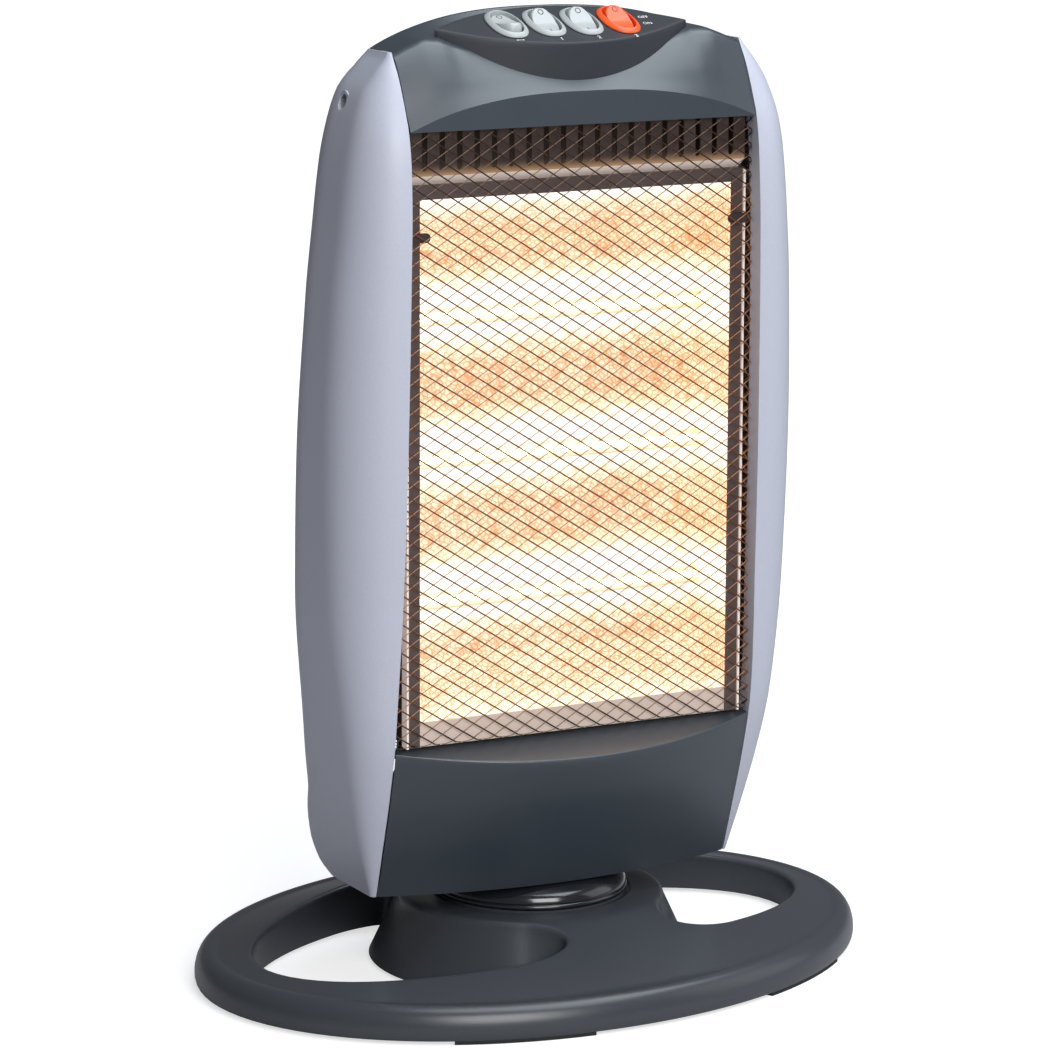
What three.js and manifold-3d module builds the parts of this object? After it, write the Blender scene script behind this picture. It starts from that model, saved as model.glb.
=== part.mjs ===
// Halogen heater: a heating head that swings on an oval floor base.
// Units are millimetres. X is the width, -Y the front, +Z up. The origin is on the floor, on the swing axis.

import * as THREE from 'three';
import { mergeVertices } from 'three/addons/utils/BufferGeometryUtils.js';
import Module from 'manifold-3d';

const wasm = await Module();
wasm.setup();

// ---------------------------------------------------------------- driving dimensions

const GAP = 0.3; // clearance between pieces that touch
const SLIT = 0.4; // running clearance between pieces that move

// floor base
const BASE_LENGTH = 400;
const BASE_DEPTH = 298;
const BASE_WALL = 3;
const RIM_TOP = 19; // height where the slope meets the rounded rim
const RIM_ROUND = 12; // how far the rounding reaches in from the edge
const RIM_PROFILE = [[0, 6], [0.7, 10.5], [2.8, 14], [6.5, 16.8]]; // in from the edge, and height
const RIM_UNDERCUT = 0.8;
const HOLE_LENGTH = 346; // oval that bounds both kidney holes
const HOLE_DEPTH = 194;
const HOLE_REACH = 66; // angle of a kidney hole's tip from the X axis, in degrees
const HOLE_ROUND = 15; // the tip's rounding starts this much before it, in degrees
const HOLE_TIP_RADIUS = 86; // a hole's tip to the swing axis
const BOSS_TOP = 39.5;
const BOSS_SOFT = 0.9; // fall of the boss's soft edge
const BOSS_FLAT_RADIUS = 66;
const BOSS_TOP_RADIUS = 74; // boss wall where it meets the slope
const BOSS_FOOT_RADIUS = 90;
const RECESS_RADIUS = 56;
const RECESS_DEEP = 1.5;
const RIB_HALF = 1.2;
const RIB_START = 92; // the ribs of both bridges, from the swing axis
const RIB_END = 141;
const RIB_FOOT = 9;
const FOOT_HEIGHT = 2;
const FOOT_WIDTH = 4;
const FOOT_INSET = 1;
const FOOT_START = 17.5; // angles of a foot pad from the front or rear, in degrees
const FOOT_END = 41;

// turntable and pivot
const TABLE_RADIUS = 54;
const TABLE_HEIGHT = 13.1;
const TABLE_WALL = 2.5;
const TABLE_RIM_HEIGHT = 3;
const TABLE_SOFT = 0.8; // rounding of the rim
const DOME_START = 38; // the dome bends down outside this radius
const GLIDE_HEIGHT = 1.5;
const GLIDE_INSET = 0.6;
const GLIDE_WIDTH = 3.9;
const PIVOT_RADIUS = 4;
const PIVOT_PROUD = 2; // shank above its nut
const NUT_RADIUS = 7.5;
const NUT_HEIGHT = 4;
const BOLT_HEAD_HEIGHT = 4;

// what carries the head
const RECESS_Z = BOSS_TOP - RECESS_DEEP;
const TABLE_BOTTOM = RECESS_Z + GAP + GLIDE_HEIGHT + GAP;
const TABLE_TOP = TABLE_BOTTOM + TABLE_HEIGHT;
const HEAD_FLOOR = TABLE_TOP + GAP;

// head
const SWING_AT_REST = -8.5; // the head is turned this far, in degrees
const SWING_LIMIT = 35;
const CREST = 529.6; // top of the head's shell, at its middle
const SHOULDER_DROP = 18.6; // top of the side panels, under the crest
const SHOULDER = CREST - SHOULDER_DROP;
const ROOF_FALL = 31; // the back starts to roll forwards this far under the shoulder
const HEAD_HALF_WIDTH = 140;
const SEAM_HALF_WIDTH = 104.4; // side panel to fascia, at the top
const SEAM_SPREAD = 4; // how much wider that seam is at the bottom
const SHELL_WALL = 2.5;
const BACK_CROWN = 5;
const REAR_CORNER = 40;
const LIP_DEPTH = 11;
const CREST_Y = -5; // where fascia and rear housing meet on top
const BAND_Y = -60;
const BAND_DROP = 58.8; // lower edge of the front band, under the crest
const BAND_BOTTOM = CREST - BAND_DROP;
const FASCIA_FALL = 41; // crest to the top of the band, at the middle
const APRON_HEIGHT = 85.7;
const SHELF_Z = HEAD_FLOOR + APRON_HEIGHT;
const SHELF_EDGE = 1.2; // fall of the shelf's front edge at its ends
const SHELF_BOW = 28;
const SHELF_DROP = 7;
const SHELF_SEAM_Y = -51.5;
const SHELF_DEPTH = 5;
const SKIRT_BOW = 19;

// side screws
const SCREW_DROP = 27; // under the shoulder
const SCREW_Z = SHOULDER - SCREW_DROP;
const SCREW_Y = -19;
const SCREW_DEEP = 13.5; // seat of the screw's head, under the panel's face
const SCREW_BOSS_RADIUS = 6.5;
const SCREW_RECESS_RADIUS = 4.2;
const SCREW_HEAD_RADIUS = 3.4;
const SCREW_RADIUS = 1.75;
const SCREW_HEAD_HEIGHT = 2;

// rear housing
const INLET_X = 38;
const INLET_RISE = 30.5; // above the floor of the head
const INLET_RADIUS = 6;
const INLET_BORE = 3.6;
const INLET_FLANGE = 3;
const POCKET_DROP = 86; // middle of the hand recess, under the shoulder
const POCKET_HALF = 46;
const POCKET_HALF_HEIGHT = 13;
const POCKET_DEEP = 18;
const POCKET_WALL = 2;
const REAR_SLOT_RISE = 56.5; // middle of the lower row, above the floor of the head
const REAR_SLOT_DROP = 139; // middle of the upper row, under the shoulder
const REAR_SLOT_PITCH = 11;
const REAR_SLOT_WIDTH = 4;
const REAR_SLOT_HEIGHT = 28;
const REAR_SLOT_DEEP = 14;
const POCKET_SINK = 1.6; // how far the recess's cup stops short of the outer face
const CASE_BOSS_X = 70;
const CASE_BOSS_RISE = 96.5; // lower pair, above the floor of the head
const CASE_BOSS_DROP = 181; // upper pair, under the shoulder
const CASE_BOSS_RADIUS = 5;

// control panel and switches
const POD_HALF_WIDTH = 76;
const POD_HALF_DEPTH = 21.5;
const POD_Y = -31.5;
const POD_DROP = 8; // the tilted face at POD_Y, under the crest
const POD_Z = CREST - POD_DROP;
const POD_TILT = 21; // degrees
const POD_DEEP = 34;
const POD_END_WALL = 9;
const POD_SIDE_WALL = 2.2;
const SWITCH_PITCH = 22.5;
const SWITCH_X0 = -33;
const SWITCH_Y = -31;
const BEZEL_LENGTH = 31.5;
const BEZEL_WIDTH = 20.5;
const BEZEL_EDGE = 0.9;
const BEZEL_PROUD = 2.2;
const BEZEL_CHAMFER = 1.4;
const BEZEL_LAP = 1.2; // bezel over the edge of its hole
const ROCKER_LENGTH = 24;
const ROCKER_WIDTH = 13.2;
const ROCKER_TOP = 6; // above its pivot
const ROCKER_DIP = 1.6; // valley between its raised ends
const ROCKER_FOOT = 4; // below its pivot
const ROCKER_PLAY = 0.9;
const PIVOT_DEEP = 4; // rocker pivot under the panel's face
const TRUNNION = 1.2;
const ROCKER_TILT = 14; // degrees to either side
const SWITCH_DEEP = 15;
const SWITCH_FLOOR = 1.5;

// guard
const GRILLE_TILT = 1.04; // degrees
const GRILLE_TOP_Y = -58.8;
const GRILLE_RISE = 1.6; // its lower edge, above the shelf
const GRILLE_SIDE = 0.7; // its side edge, inside the seam
const GRILLE_RIM = 4;
const GRILLE_TRAY = 10;
const GRILLE_SHEET = 2.6;
const MESH_PITCH_X = 12.5;
const MESH_PITCH_Z = 7.85;
const WIRE = 1.1;

// inner case and vent plate
const CASE_HALF_WIDTH = 102.3;
const SHEET = 1.2;
const CASE_FRONT_Y = -46;
const CASE_BACK_Y = 3;
const CASE_RISE = 3.8; // above the shelf
const CASE_BOTTOM = SHELF_Z + CASE_RISE;
const CASE_LAP = 13.2; // above the lower edge of the front band
const CASE_TOP = BAND_BOTTOM + CASE_LAP;
const LEG_FRONT_Y = -18;
const VENT_Y = -53.4;
const VENT_LAP = 3.2; // above the lower edge of the front band
const VENT_TOP = BAND_BOTTOM + VENT_LAP;
const VENT_HEIGHT = 27;
const VENT_BOTTOM = VENT_TOP - VENT_HEIGHT;
const VENT_FLANGE_Y = -34; // back edge of both its flanges
const SLOT_COUNT = 19;
const SLOT_PITCH = 10.25;
const SLOT_WIDTH = 3.2;
const SLOT_MARGIN = 2.5;

// reflector, tubes and clips
const REFLECTOR_HALF = 94.5;
const REFLECTOR_DROP = 7; // under the vent plate
const REFLECTOR_TOP = VENT_BOTTOM - REFLECTOR_DROP;
const REFLECTOR_RISE = 6.5; // above the bottom of the inner case
const REFLECTOR_BOTTOM = CASE_BOTTOM + REFLECTOR_RISE;
const REFLECTOR_FRONT = -50;
const REFLECTOR_DEEP = -8;
const REFLECTOR_FLANGE = 5;
const TROUGH_DEPTH = 4;
const TROUGH_EDGE = 4; // the outer troughs end this much early
const TROUGH_LOW = 26; // room under the lowest trough
const TROUGH_HIGH = 33.5; // room above the highest one
const TUBE_PITCH = (REFLECTOR_TOP - REFLECTOR_BOTTOM - TROUGH_LOW - TROUGH_HIGH) / 3;
const TUBE_Z = REFLECTOR_BOTTOM + TROUGH_LOW + 1.5 * TUBE_PITCH; // middle tube
const TUBE_Y = -27;
const TUBE_RADIUS = 5;
const TUBE_WALL = 1;
const CAP_RADIUS = 6.2;
const CAP_LENGTH = 13.5;
const CAP_SOCKET = 6;
const FILAMENT_RADIUS = 0.8;
const CLIP_DROP = 25; // under the top of the reflector
const CLIP_Z = REFLECTOR_TOP - CLIP_DROP;
const CLIP_Y = -55.9;
const CLIP_NOSE_X = 92.5;
const CLIP_RISER_X = 97;
const CLIP_HALF_HEIGHT = 2.6;

// swing drive
const FLOOR_SHEET = 2.2;
const FLOOR_TOP = HEAD_FLOOR + FLOOR_SHEET;
const MOTOR_OFFSET = 18; // motor shaft to swing axis
const MOTOR_RADIUS = 25;
const MOTOR_HEIGHT = 16;
const MOTOR_EAR = 6;
const EAR_HALF_WIDTH = 5;
const EAR_THICK = 1.5;
const BRACKET_HEIGHT = 14.3;
const BRACKET_TOP = FLOOR_TOP + BRACKET_HEIGHT;
const BRACKET_HALF_WIDTH = 12;
const BRACKET_FOOT = 8;
const SHAFT_RADIUS = 3;
const PIN_RADIUS = 2;
const CRANK_HUB = 2.5; // wall of the hub round the shaft
const CRANK_EYE_RADIUS = 4;
const CRANK_HALF_WIDTH = 3;
const CRANK_THICK = 3;
const CRANK_RISE = 1.9; // above the lower edge of the turntable
const CRANK_Z = TABLE_BOTTOM + CRANK_RISE;

// The slot in the boss is tangent to the pin's circle at both ends of the swing, so the pin turns the head
// from limit to limit while the crank goes from one such place to the other.
const CRANK_RADIUS = MOTOR_OFFSET * Math.sin((SWING_LIMIT * Math.PI) / 180);
const CRANK_RATIO = (90 + SWING_LIMIT) / SWING_LIMIT;
const PIN_NEAR = MOTOR_OFFSET * Math.cos((SWING_LIMIT * Math.PI) / 180);
const PIN_FAR = MOTOR_OFFSET + CRANK_RADIUS;
const PIN_ERROR = 0.106; // largest sideways error of the pin at a steady ratio, for an offset of 1
const PIN_SLOT_HALF = PIN_RADIUS + MOTOR_OFFSET * PIN_ERROR + SLIT;

// tip-over switch, terminal block and thermal cut-out
const TIP_X = -68;
const TIP_Y = 8;
const TIP_PIVOT_RISE = 36.3; // above the floor plate
const TIP_PIVOT_Z = FLOOR_TOP + TIP_PIVOT_RISE;
const TIP_PIN_RADIUS = 1.5;
const TIP_HALF_LENGTH = 14;
const TIP_HALF_WIDTH = 9;
const TIP_CHEEK = 2.5;
const TIP_FOOT = 4; // thickness of its foot
const TIP_HEAD = 6; // cheeks above the pivot
const TIP_STEM = 22;
const TIP_STEM_HALF = 1.5;
const TIP_WEIGHT_RADIUS = 5;
const TIP_WEIGHT_HALF = 5.5;
const TERMINAL_X = 48;
const TERMINAL_Y = 14;
const TERMINAL_LENGTH = 40;
const TERMINAL_WIDTH = 18;
const TERMINAL_HEIGHT = 15;
const TERMINAL_PITCH = 9;
const TERMINAL_WELL_RADIUS = 2.4;
const TERMINAL_WELL_DEEP = 8;
const CUTOUT_RADIUS = 8;
const CUTOUT_HEIGHT = 8.7;

const CLEAR = 20; // how far a cutting solid runs past what it cuts

// ---------------------------------------------------------------- finishes

function finish(color, roughness, metalness = 0) {
  return new THREE.MeshStandardMaterial({ color, roughness, metalness });
}

const darkGrey = finish(0x3f434b, 0.55);
const satinGrey = finish(0x4e555c, 0.4);
const lightGrey = finish(0xb4b9c8, 0.45);
const glossBlack = finish(0x1d2023, 0.2);
const switchGrey = finish(0xa9acad, 0.4);
const switchOrange = finish(0xe8622b, 0.4);
const rubber = finish(0x17181a, 0.9);
const wireSteel = finish(0x4a3328, 0.45, 0.8);
const brownSteel = finish(0x3a2b28, 0.5, 0.6);
const brightSteel = finish(0xb9b5ae, 0.35, 0.9);
const hammered = finish(0xe9dccb, 0.3, 0.9);
const quartz = finish(0xffe9c4, 0.1);
const glow = finish(0xffc27a, 0.6);
const ceramic = finish(0xe6e1d6, 0.7);
const whiteNylon = finish(0xd8d6cf, 0.6);

// ---------------------------------------------------------------- geometry helpers

const rad = THREE.MathUtils.degToRad;
const lerp = THREE.MathUtils.lerp;
const vec = (x, y, z) => new THREE.Vector3(x, y, z);

// Smooth curve through [place, value] pairs that never overshoots them.
function curveThrough(pairs) {
  const xs = pairs.map((pair) => pair[0]);
  const ys = pairs.map((pair) => pair[1]);
  const slopes = xs.slice(1).map((x, i) => (ys[i + 1] - ys[i]) / (x - xs[i]));
  const tangents = xs.map((x, i) => {
    if (i === 0) return slopes[0];
    if (i === xs.length - 1) return slopes[i - 1];
    const before = slopes[i - 1];
    const after = slopes[i];
    return before * after <= 0 ? 0 : (2 * before * after) / (before + after);
  });
  return (x) => {
    const at = THREE.MathUtils.clamp(x, xs[0], xs[xs.length - 1]);
    let i = 0;
    while (i < xs.length - 2 && at > xs[i + 1]) i += 1;
    const width = xs[i + 1] - xs[i];
    const t = (at - xs[i]) / width;
    const t2 = t * t;
    const t3 = t2 * t;
    return (2 * t3 - 3 * t2 + 1) * ys[i] + (t3 - 2 * t2 + t) * width * tangents[i]
      + (3 * t2 - 2 * t3) * ys[i + 1] + (t3 - t2) * width * tangents[i + 1];
  };
}

// A closed three.js geometry as a solid that can be joined and cut.
function solidOf(geometry) {
  const bare = geometry.clone();
  for (const name of Object.keys(bare.attributes)) {
    if (name !== 'position') bare.deleteAttribute(name);
  }
  const merged = mergeVertices(bare, 1e-4);
  const index = merged.index.array;
  const at = merged.attributes.position.array;
  const triangles = [];
  let volume = 0;
  for (let i = 0; i < index.length; i += 3) {
    const [a, b, c] = [index[i], index[i + 1], index[i + 2]];
    if (a === b || b === c || c === a) continue;
    triangles.push(a, b, c);
    const [p, q, r] = [a, b, c].map((k) => vec(at[3 * k], at[3 * k + 1], at[3 * k + 2]));
    volume += p.dot(q.cross(r));
  }
  if (volume < 0) triangles.reverse();
  const vertProperties = Float32Array.from(at);
  const triVerts = Uint32Array.from(triangles);
  return new wasm.Manifold(new wasm.Mesh({ numProp: 3, vertProperties, triVerts }));
}

function geometryOf(solid) {
  const mesh = solid.getMesh();
  const geometry = new THREE.BufferGeometry();
  geometry.setAttribute('position', new THREE.BufferAttribute(mesh.vertProperties, 3));
  geometry.setIndex(new THREE.BufferAttribute(mesh.triVerts, 1));
  geometry.computeVertexNormals();
  return geometry;
}

const cut = (solid, ...tools) => tools.reduce((rest, tool) => rest.subtract(tool), solid);
const join = (...solids) => solids.reduce((all, solid) => all.add(solid));

function box(x0, x1, y0, y1, z0, z1) {
  const geometry = new THREE.BoxGeometry(x1 - x0, y1 - y0, z1 - z0);
  geometry.translate((x0 + x1) / 2, (y0 + y1) / 2, (z0 + z1) / 2);
  return solidOf(geometry);
}

// Upright cylinder from z0 to z1; the two radii are those of its bottom and top.
function post(x, y, z0, z1, bottom, top = bottom, sides = 16) {
  const geometry = new THREE.CylinderGeometry(top, bottom, z1 - z0, sides);
  geometry.rotateX(Math.PI / 2);
  geometry.translate(x, y, (z0 + z1) / 2);
  return solidOf(geometry);
}

// Cylinder along X.
function bar(x0, x1, y, z, radius, sides = 16) {
  const geometry = new THREE.CylinderGeometry(radius, radius, x1 - x0, sides);
  geometry.rotateZ(Math.PI / 2);
  geometry.translate((x0 + x1) / 2, y, z);
  return solidOf(geometry);
}

// Cylinder along Y.
function rod(y0, y1, x, z, radius, sides = 16) {
  const geometry = new THREE.CylinderGeometry(radius, radius, y1 - y0, sides);
  geometry.translate(x, (y0 + y1) / 2, z);
  return solidOf(geometry);
}

// Upright prism over a closed outline of [x, y] points.
function prism(outline, z0, z1) {
  const shape = new THREE.Shape(outline.map(([x, y]) => new THREE.Vector2(x, y)));
  const geometry = new THREE.ExtrudeGeometry(shape, { depth: z1 - z0, bevelEnabled: false });
  geometry.translate(0, 0, z0);
  return solidOf(geometry);
}

// Prism along X over a closed outline of [y, z] points.
function prismX(outline, x0, x1) {
  const shape = new THREE.Shape(outline.map(([y, z]) => new THREE.Vector2(y, z)));
  const geometry = new THREE.ExtrudeGeometry(shape, { depth: x1 - x0, bevelEnabled: false });
  geometry.applyMatrix4(new THREE.Matrix4().makeBasis(vec(0, 1, 0), vec(0, 0, 1), vec(1, 0, 0)));
  geometry.translate(x0, 0, 0);
  return solidOf(geometry);
}

// Ring or disc turned about Z from a closed profile of [radius, z] points.
function turned(profile, sides = 32) {
  const points = [...profile, profile[0]].map(([r, z]) => new THREE.Vector2(r, z));
  const geometry = new THREE.LatheGeometry(points, sides);
  geometry.rotateX(Math.PI / 2);
  return solidOf(geometry);
}

// Closed solid whose rings of points are stacked from bottom to top and capped by fans about their centres.
function stacked(rings) {
  const at = [];
  const index = [];
  const count = rings[0].length;
  const put = (p) => at.push(p.x, p.y, p.z) / 3 - 1;
  const ids = rings.map((ring) => ring.map(put));
  for (let k = 0; k < rings.length - 1; k += 1) {
    for (let i = 0; i < count; i += 1) {
      const j = (i + 1) % count;
      index.push(ids[k][i], ids[k][j], ids[k + 1][j], ids[k][i], ids[k + 1][j], ids[k + 1][i]);
    }
  }
  const middle = (ring) => ring.reduce((sum, p) => sum.add(p), vec(0, 0, 0)).divideScalar(ring.length);
  const last = rings.length - 1;
  const low = put(middle(rings[0]));
  const high = put(middle(rings[last]));
  for (let i = 0; i < count; i += 1) {
    const j = (i + 1) % count;
    index.push(low, ids[0][j], ids[0][i], high, ids[last][i], ids[last][j]);
  }
  const geometry = new THREE.BufferGeometry();
  geometry.setAttribute('position', new THREE.Float32BufferAttribute(at, 3));
  geometry.setIndex(index);
  return solidOf(geometry);
}

// Closed sheet between two grids of points, the outer face and the inner face.
function sheetBetween(outer, inner) {
  const rows = outer.length;
  const cols = outer[0].length;
  const at = [];
  for (const grid of [outer, inner]) {
    for (const row of grid) {
      for (const p of row) at.push(p.x, p.y, p.z);
    }
  }
  const index = [];
  const id = (side, i, j) => side * rows * cols + i * cols + j;
  const quad = (a, b, c, d) => index.push(a, b, c, a, c, d);
  for (let i = 0; i < rows - 1; i += 1) {
    for (let j = 0; j < cols - 1; j += 1) {
      quad(id(0, i, j), id(0, i, j + 1), id(0, i + 1, j + 1), id(0, i + 1, j));
      quad(id(1, i, j), id(1, i + 1, j), id(1, i + 1, j + 1), id(1, i, j + 1));
    }
  }
  for (let j = 0; j < cols - 1; j += 1) {
    quad(id(0, 0, j), id(1, 0, j), id(1, 0, j + 1), id(0, 0, j + 1));
    quad(id(0, rows - 1, j), id(0, rows - 1, j + 1), id(1, rows - 1, j + 1), id(1, rows - 1, j));
  }
  for (let i = 0; i < rows - 1; i += 1) {
    quad(id(0, i, 0), id(0, i + 1, 0), id(1, i + 1, 0), id(1, i, 0));
    quad(id(0, i, cols - 1), id(1, i, cols - 1), id(1, i + 1, cols - 1), id(0, i + 1, cols - 1));
  }
  const geometry = new THREE.BufferGeometry();
  geometry.setAttribute('position', new THREE.Float32BufferAttribute(at, 3));
  geometry.setIndex(index);
  return solidOf(geometry);
}

// The grid moved inwards by a wall. hold(i, j, n) may clear parts of the normal, to keep an edge flat.
function inset(grid, wall, hold) {
  const rows = grid.length;
  const cols = grid[0].length;
  return grid.map((row, i) => row.map((p, j) => {
    const du = grid[i][Math.min(j + 1, cols - 1)].clone().sub(grid[i][Math.max(j - 1, 0)]);
    const dv = grid[Math.min(i + 1, rows - 1)][j].clone().sub(grid[Math.max(i - 1, 0)][j]);
    const n = du.cross(dv).normalize();
    hold(i, j, n);
    return p.clone().addScaledVector(n.normalize(), -wall);
  }));
}

// Points on an ellipse, at degrees counted from the X axis.
function ellipse(halfX, halfY, from, to, steps) {
  return Array.from({ length: steps + 1 }, (_, i) => {
    const a = rad(lerp(from, to, i / steps));
    return [halfX * Math.cos(a), halfY * Math.sin(a)];
  });
}

function piece(parent, name, solid, material) {
  const mesh = new THREE.Mesh(geometryOf(solid), material);
  mesh.name = name;
  parent.add(mesh);
  return mesh;
}

const heater = new THREE.Group();

// ---------------------------------------------------------------- floor base

const BASE_STEPS = 48;

function oval(inset_, z, steps = BASE_STEPS) {
  return ellipse(BASE_LENGTH / 2 - inset_, BASE_DEPTH / 2 - inset_, 0, 360 * (1 - 1 / steps), steps - 1)
    .map(([x, y]) => vec(x, y, z));
}

function circle(radius, z, steps = BASE_STEPS) {
  return ellipse(radius, radius, 0, 360 * (1 - 1 / steps), steps - 1).map(([x, y]) => vec(x, y, z));
}

// The rim is rounded from the floor gap up to the slope; shrink moves the whole profile inwards.
function rimRings(shrink, bottom) {
  const profile = [...RIM_PROFILE, [RIM_ROUND, RIM_TOP]];
  const rings = profile.map(([back, z]) => oval(back + shrink, z - shrink));
  return [oval(RIM_UNDERCUT + shrink, bottom), ...rings];
}

// Kidney-shaped prism beside the boss. grow widens it by a wall on every side; side is 1 right, -1 left.
function kidney(side, grow, z0, z1) {
  const steps = 20;
  const reach = rad(HOLE_REACH) + grow / HOLE_TIP_RADIUS;
  const roundFrom = rad(HOLE_REACH - HOLE_ROUND);
  const ring = (z) => {
    const draft = (BOSS_FOOT_RADIUS - BOSS_TOP_RADIUS) / (BOSS_TOP - FOOT_HEIGHT);
    const near = BOSS_TOP_RADIUS + (BOSS_TOP - z) * draft - grow;
    const outline = { near: [], far: [] };
    for (let i = 0; i <= steps; i += 1) {
      const a = reach * Math.sin((Math.PI / 2) * (2 * i / steps - 1));
      const across = Math.cos(a) / (HOLE_LENGTH / 2 + grow);
      const along = Math.sin(a) / (HOLE_DEPTH / 2 + grow);
      const far = 1 / Math.hypot(across, along);
      const past = Math.max(0, (Math.abs(a) - roundFrom) / (reach - roundFrom));
      const half = ((far - near) / 2) * Math.sqrt(Math.max(0, 1 - past * past));
      const mid = (far + near) / 2;
      outline.far.push(vec(side * (mid + half) * Math.cos(a), (mid + half) * Math.sin(a), z));
      outline.near.push(vec(side * (mid - half) * Math.cos(a), (mid - half) * Math.sin(a), z));
    }
    return outline;
  };
  const low = ring(z0);
  const high = ring(z1);
  return sheetBetween([low.far, high.far], [low.near, high.near]);
}

function baseShell() {
  const outer = stacked([
    ...rimRings(0, FOOT_HEIGHT),
    circle(BOSS_TOP_RADIUS, BOSS_TOP - BOSS_SOFT),
    circle(BOSS_FLAT_RADIUS, BOSS_TOP),
    circle(RECESS_RADIUS + GAP, BOSS_TOP),
    circle(RECESS_RADIUS, RECESS_Z),
  ]);
  const hollow = stacked([
    ...rimRings(BASE_WALL, FOOT_HEIGHT - 1),
    circle(BOSS_FLAT_RADIUS, RECESS_Z - BASE_WALL),
    circle(RECESS_RADIUS, RECESS_Z - BASE_WALL),
  ]);
  const low = -CLEAR;
  const high = BOSS_TOP + CLEAR;
  const underside = cut(hollow, kidney(1, BASE_WALL, low, high), kidney(-1, BASE_WALL, low, high));
  const ribs = [[RIB_START, RIB_END], [-RIB_END, -RIB_START]].map(([y0, y1]) => (
    box(-RIB_HALF, RIB_HALF, y0, y1, RIB_FOOT, BOSS_TOP)));
  const pinSlot = join(
    post(0, PIN_FAR, RIM_TOP, high, PIN_SLOT_HALF),
    post(0, PIN_NEAR, RIM_TOP, high, PIN_SLOT_HALF),
    box(-PIN_SLOT_HALF, PIN_SLOT_HALF, PIN_NEAR, PIN_FAR, RIM_TOP, high),
  );
  const pivotHole = post(0, 0, RIM_TOP, high, PIVOT_RADIUS + GAP);
  const holes = [kidney(1, 0, low, high), kidney(-1, 0, low, high)];
  return cut(outer, cut(underside, ...ribs), ...holes, pinSlot, pivotHole);
}

piece(heater, 'base_shell', baseShell(), darkGrey);

// Foot pads follow the rim on both sides of the front and of the rear.
function footPad(sideX, sideY) {
  const steps = 9;
  const arc = (back) => Array.from({ length: steps + 1 }, (_, i) => {
    const a = rad(lerp(FOOT_START, FOOT_END, i / steps));
    return [sideX * (BASE_LENGTH / 2 - back) * Math.sin(a), sideY * (BASE_DEPTH / 2 - back) * Math.cos(a)];
  });
  return prism([...arc(FOOT_INSET), ...arc(FOOT_INSET + FOOT_WIDTH).reverse()], 0, FOOT_HEIGHT);
}

piece(heater, 'foot_front_left', footPad(-1, -1), rubber);
piece(heater, 'foot_front_right', footPad(1, -1), rubber);
piece(heater, 'foot_rear_left', footPad(-1, 1), rubber);
piece(heater, 'foot_rear_right', footPad(1, 1), rubber);

// ---------------------------------------------------------------- turntable and pivot

function glideRing() {
  const outside = TABLE_RADIUS - GLIDE_INSET;
  const inside = outside - GLIDE_WIDTH;
  const bottom = RECESS_Z + GAP;
  const top = bottom + GLIDE_HEIGHT;
  return turned([[inside, bottom], [outside, bottom], [outside, top], [inside, top]]);
}

piece(heater, 'glide_ring', glideRing(), whiteNylon);

function pivotBolt() {
  const under = RECESS_Z - BASE_WALL - GAP;
  const head = post(0, 0, under - BOLT_HEAD_HEIGHT, under, NUT_RADIUS, NUT_RADIUS, 6);
  return join(head, post(0, 0, under - 1, FLOOR_TOP + SLIT + NUT_HEIGHT + PIVOT_PROUD, PIVOT_RADIUS));
}

piece(heater, 'pivot_bolt', pivotBolt(), brightSteel);
piece(heater, 'pivot_nut', cut(
  post(0, 0, FLOOR_TOP + SLIT, FLOOR_TOP + SLIT + NUT_HEIGHT, NUT_RADIUS, NUT_RADIUS, 6),
  post(0, 0, FLOOR_TOP - CLEAR, FLOOR_TOP + CLEAR, PIVOT_RADIUS + GAP),
), brightSteel);

const head = new THREE.Group();
head.rotation.z = rad(SWING_AT_REST);
heater.add(head);

// Low dome with an upright rim, open below, with the drive inside it.
function turntable() {
  const rimTop = TABLE_BOTTOM + TABLE_RIM_HEIGHT;
  const rise = TABLE_TOP - rimTop;
  const inside = TABLE_RADIUS - TABLE_WALL - 1;
  const dome = (radius, height, steps) => (
    ellipse(radius - DOME_START, height, 8, 82, steps).map(([r, z]) => [DOME_START + r, rimTop + z]));
  return turned([
    [inside, TABLE_BOTTOM],
    [TABLE_RADIUS - TABLE_SOFT - SLIT, TABLE_BOTTOM],
    [TABLE_RADIUS, TABLE_BOTTOM + TABLE_SOFT],
    [TABLE_RADIUS, rimTop - TABLE_SOFT],
    [TABLE_RADIUS - 1, rimTop],
    ...dome(TABLE_RADIUS - SLIT, rise, 5),
    [DOME_START - 1, TABLE_TOP],
    [DOME_START - 1, TABLE_TOP - TABLE_WALL],
    ...dome(inside, rise - TABLE_WALL, 3).reverse(),
  ]);
}

piece(head, 'turntable', turntable(), glossBlack);

// ---------------------------------------------------------------- section of the head at a height

const share = (z) => (z - HEAD_FLOOR) / (SHOULDER - HEAD_FLOOR);

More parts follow.
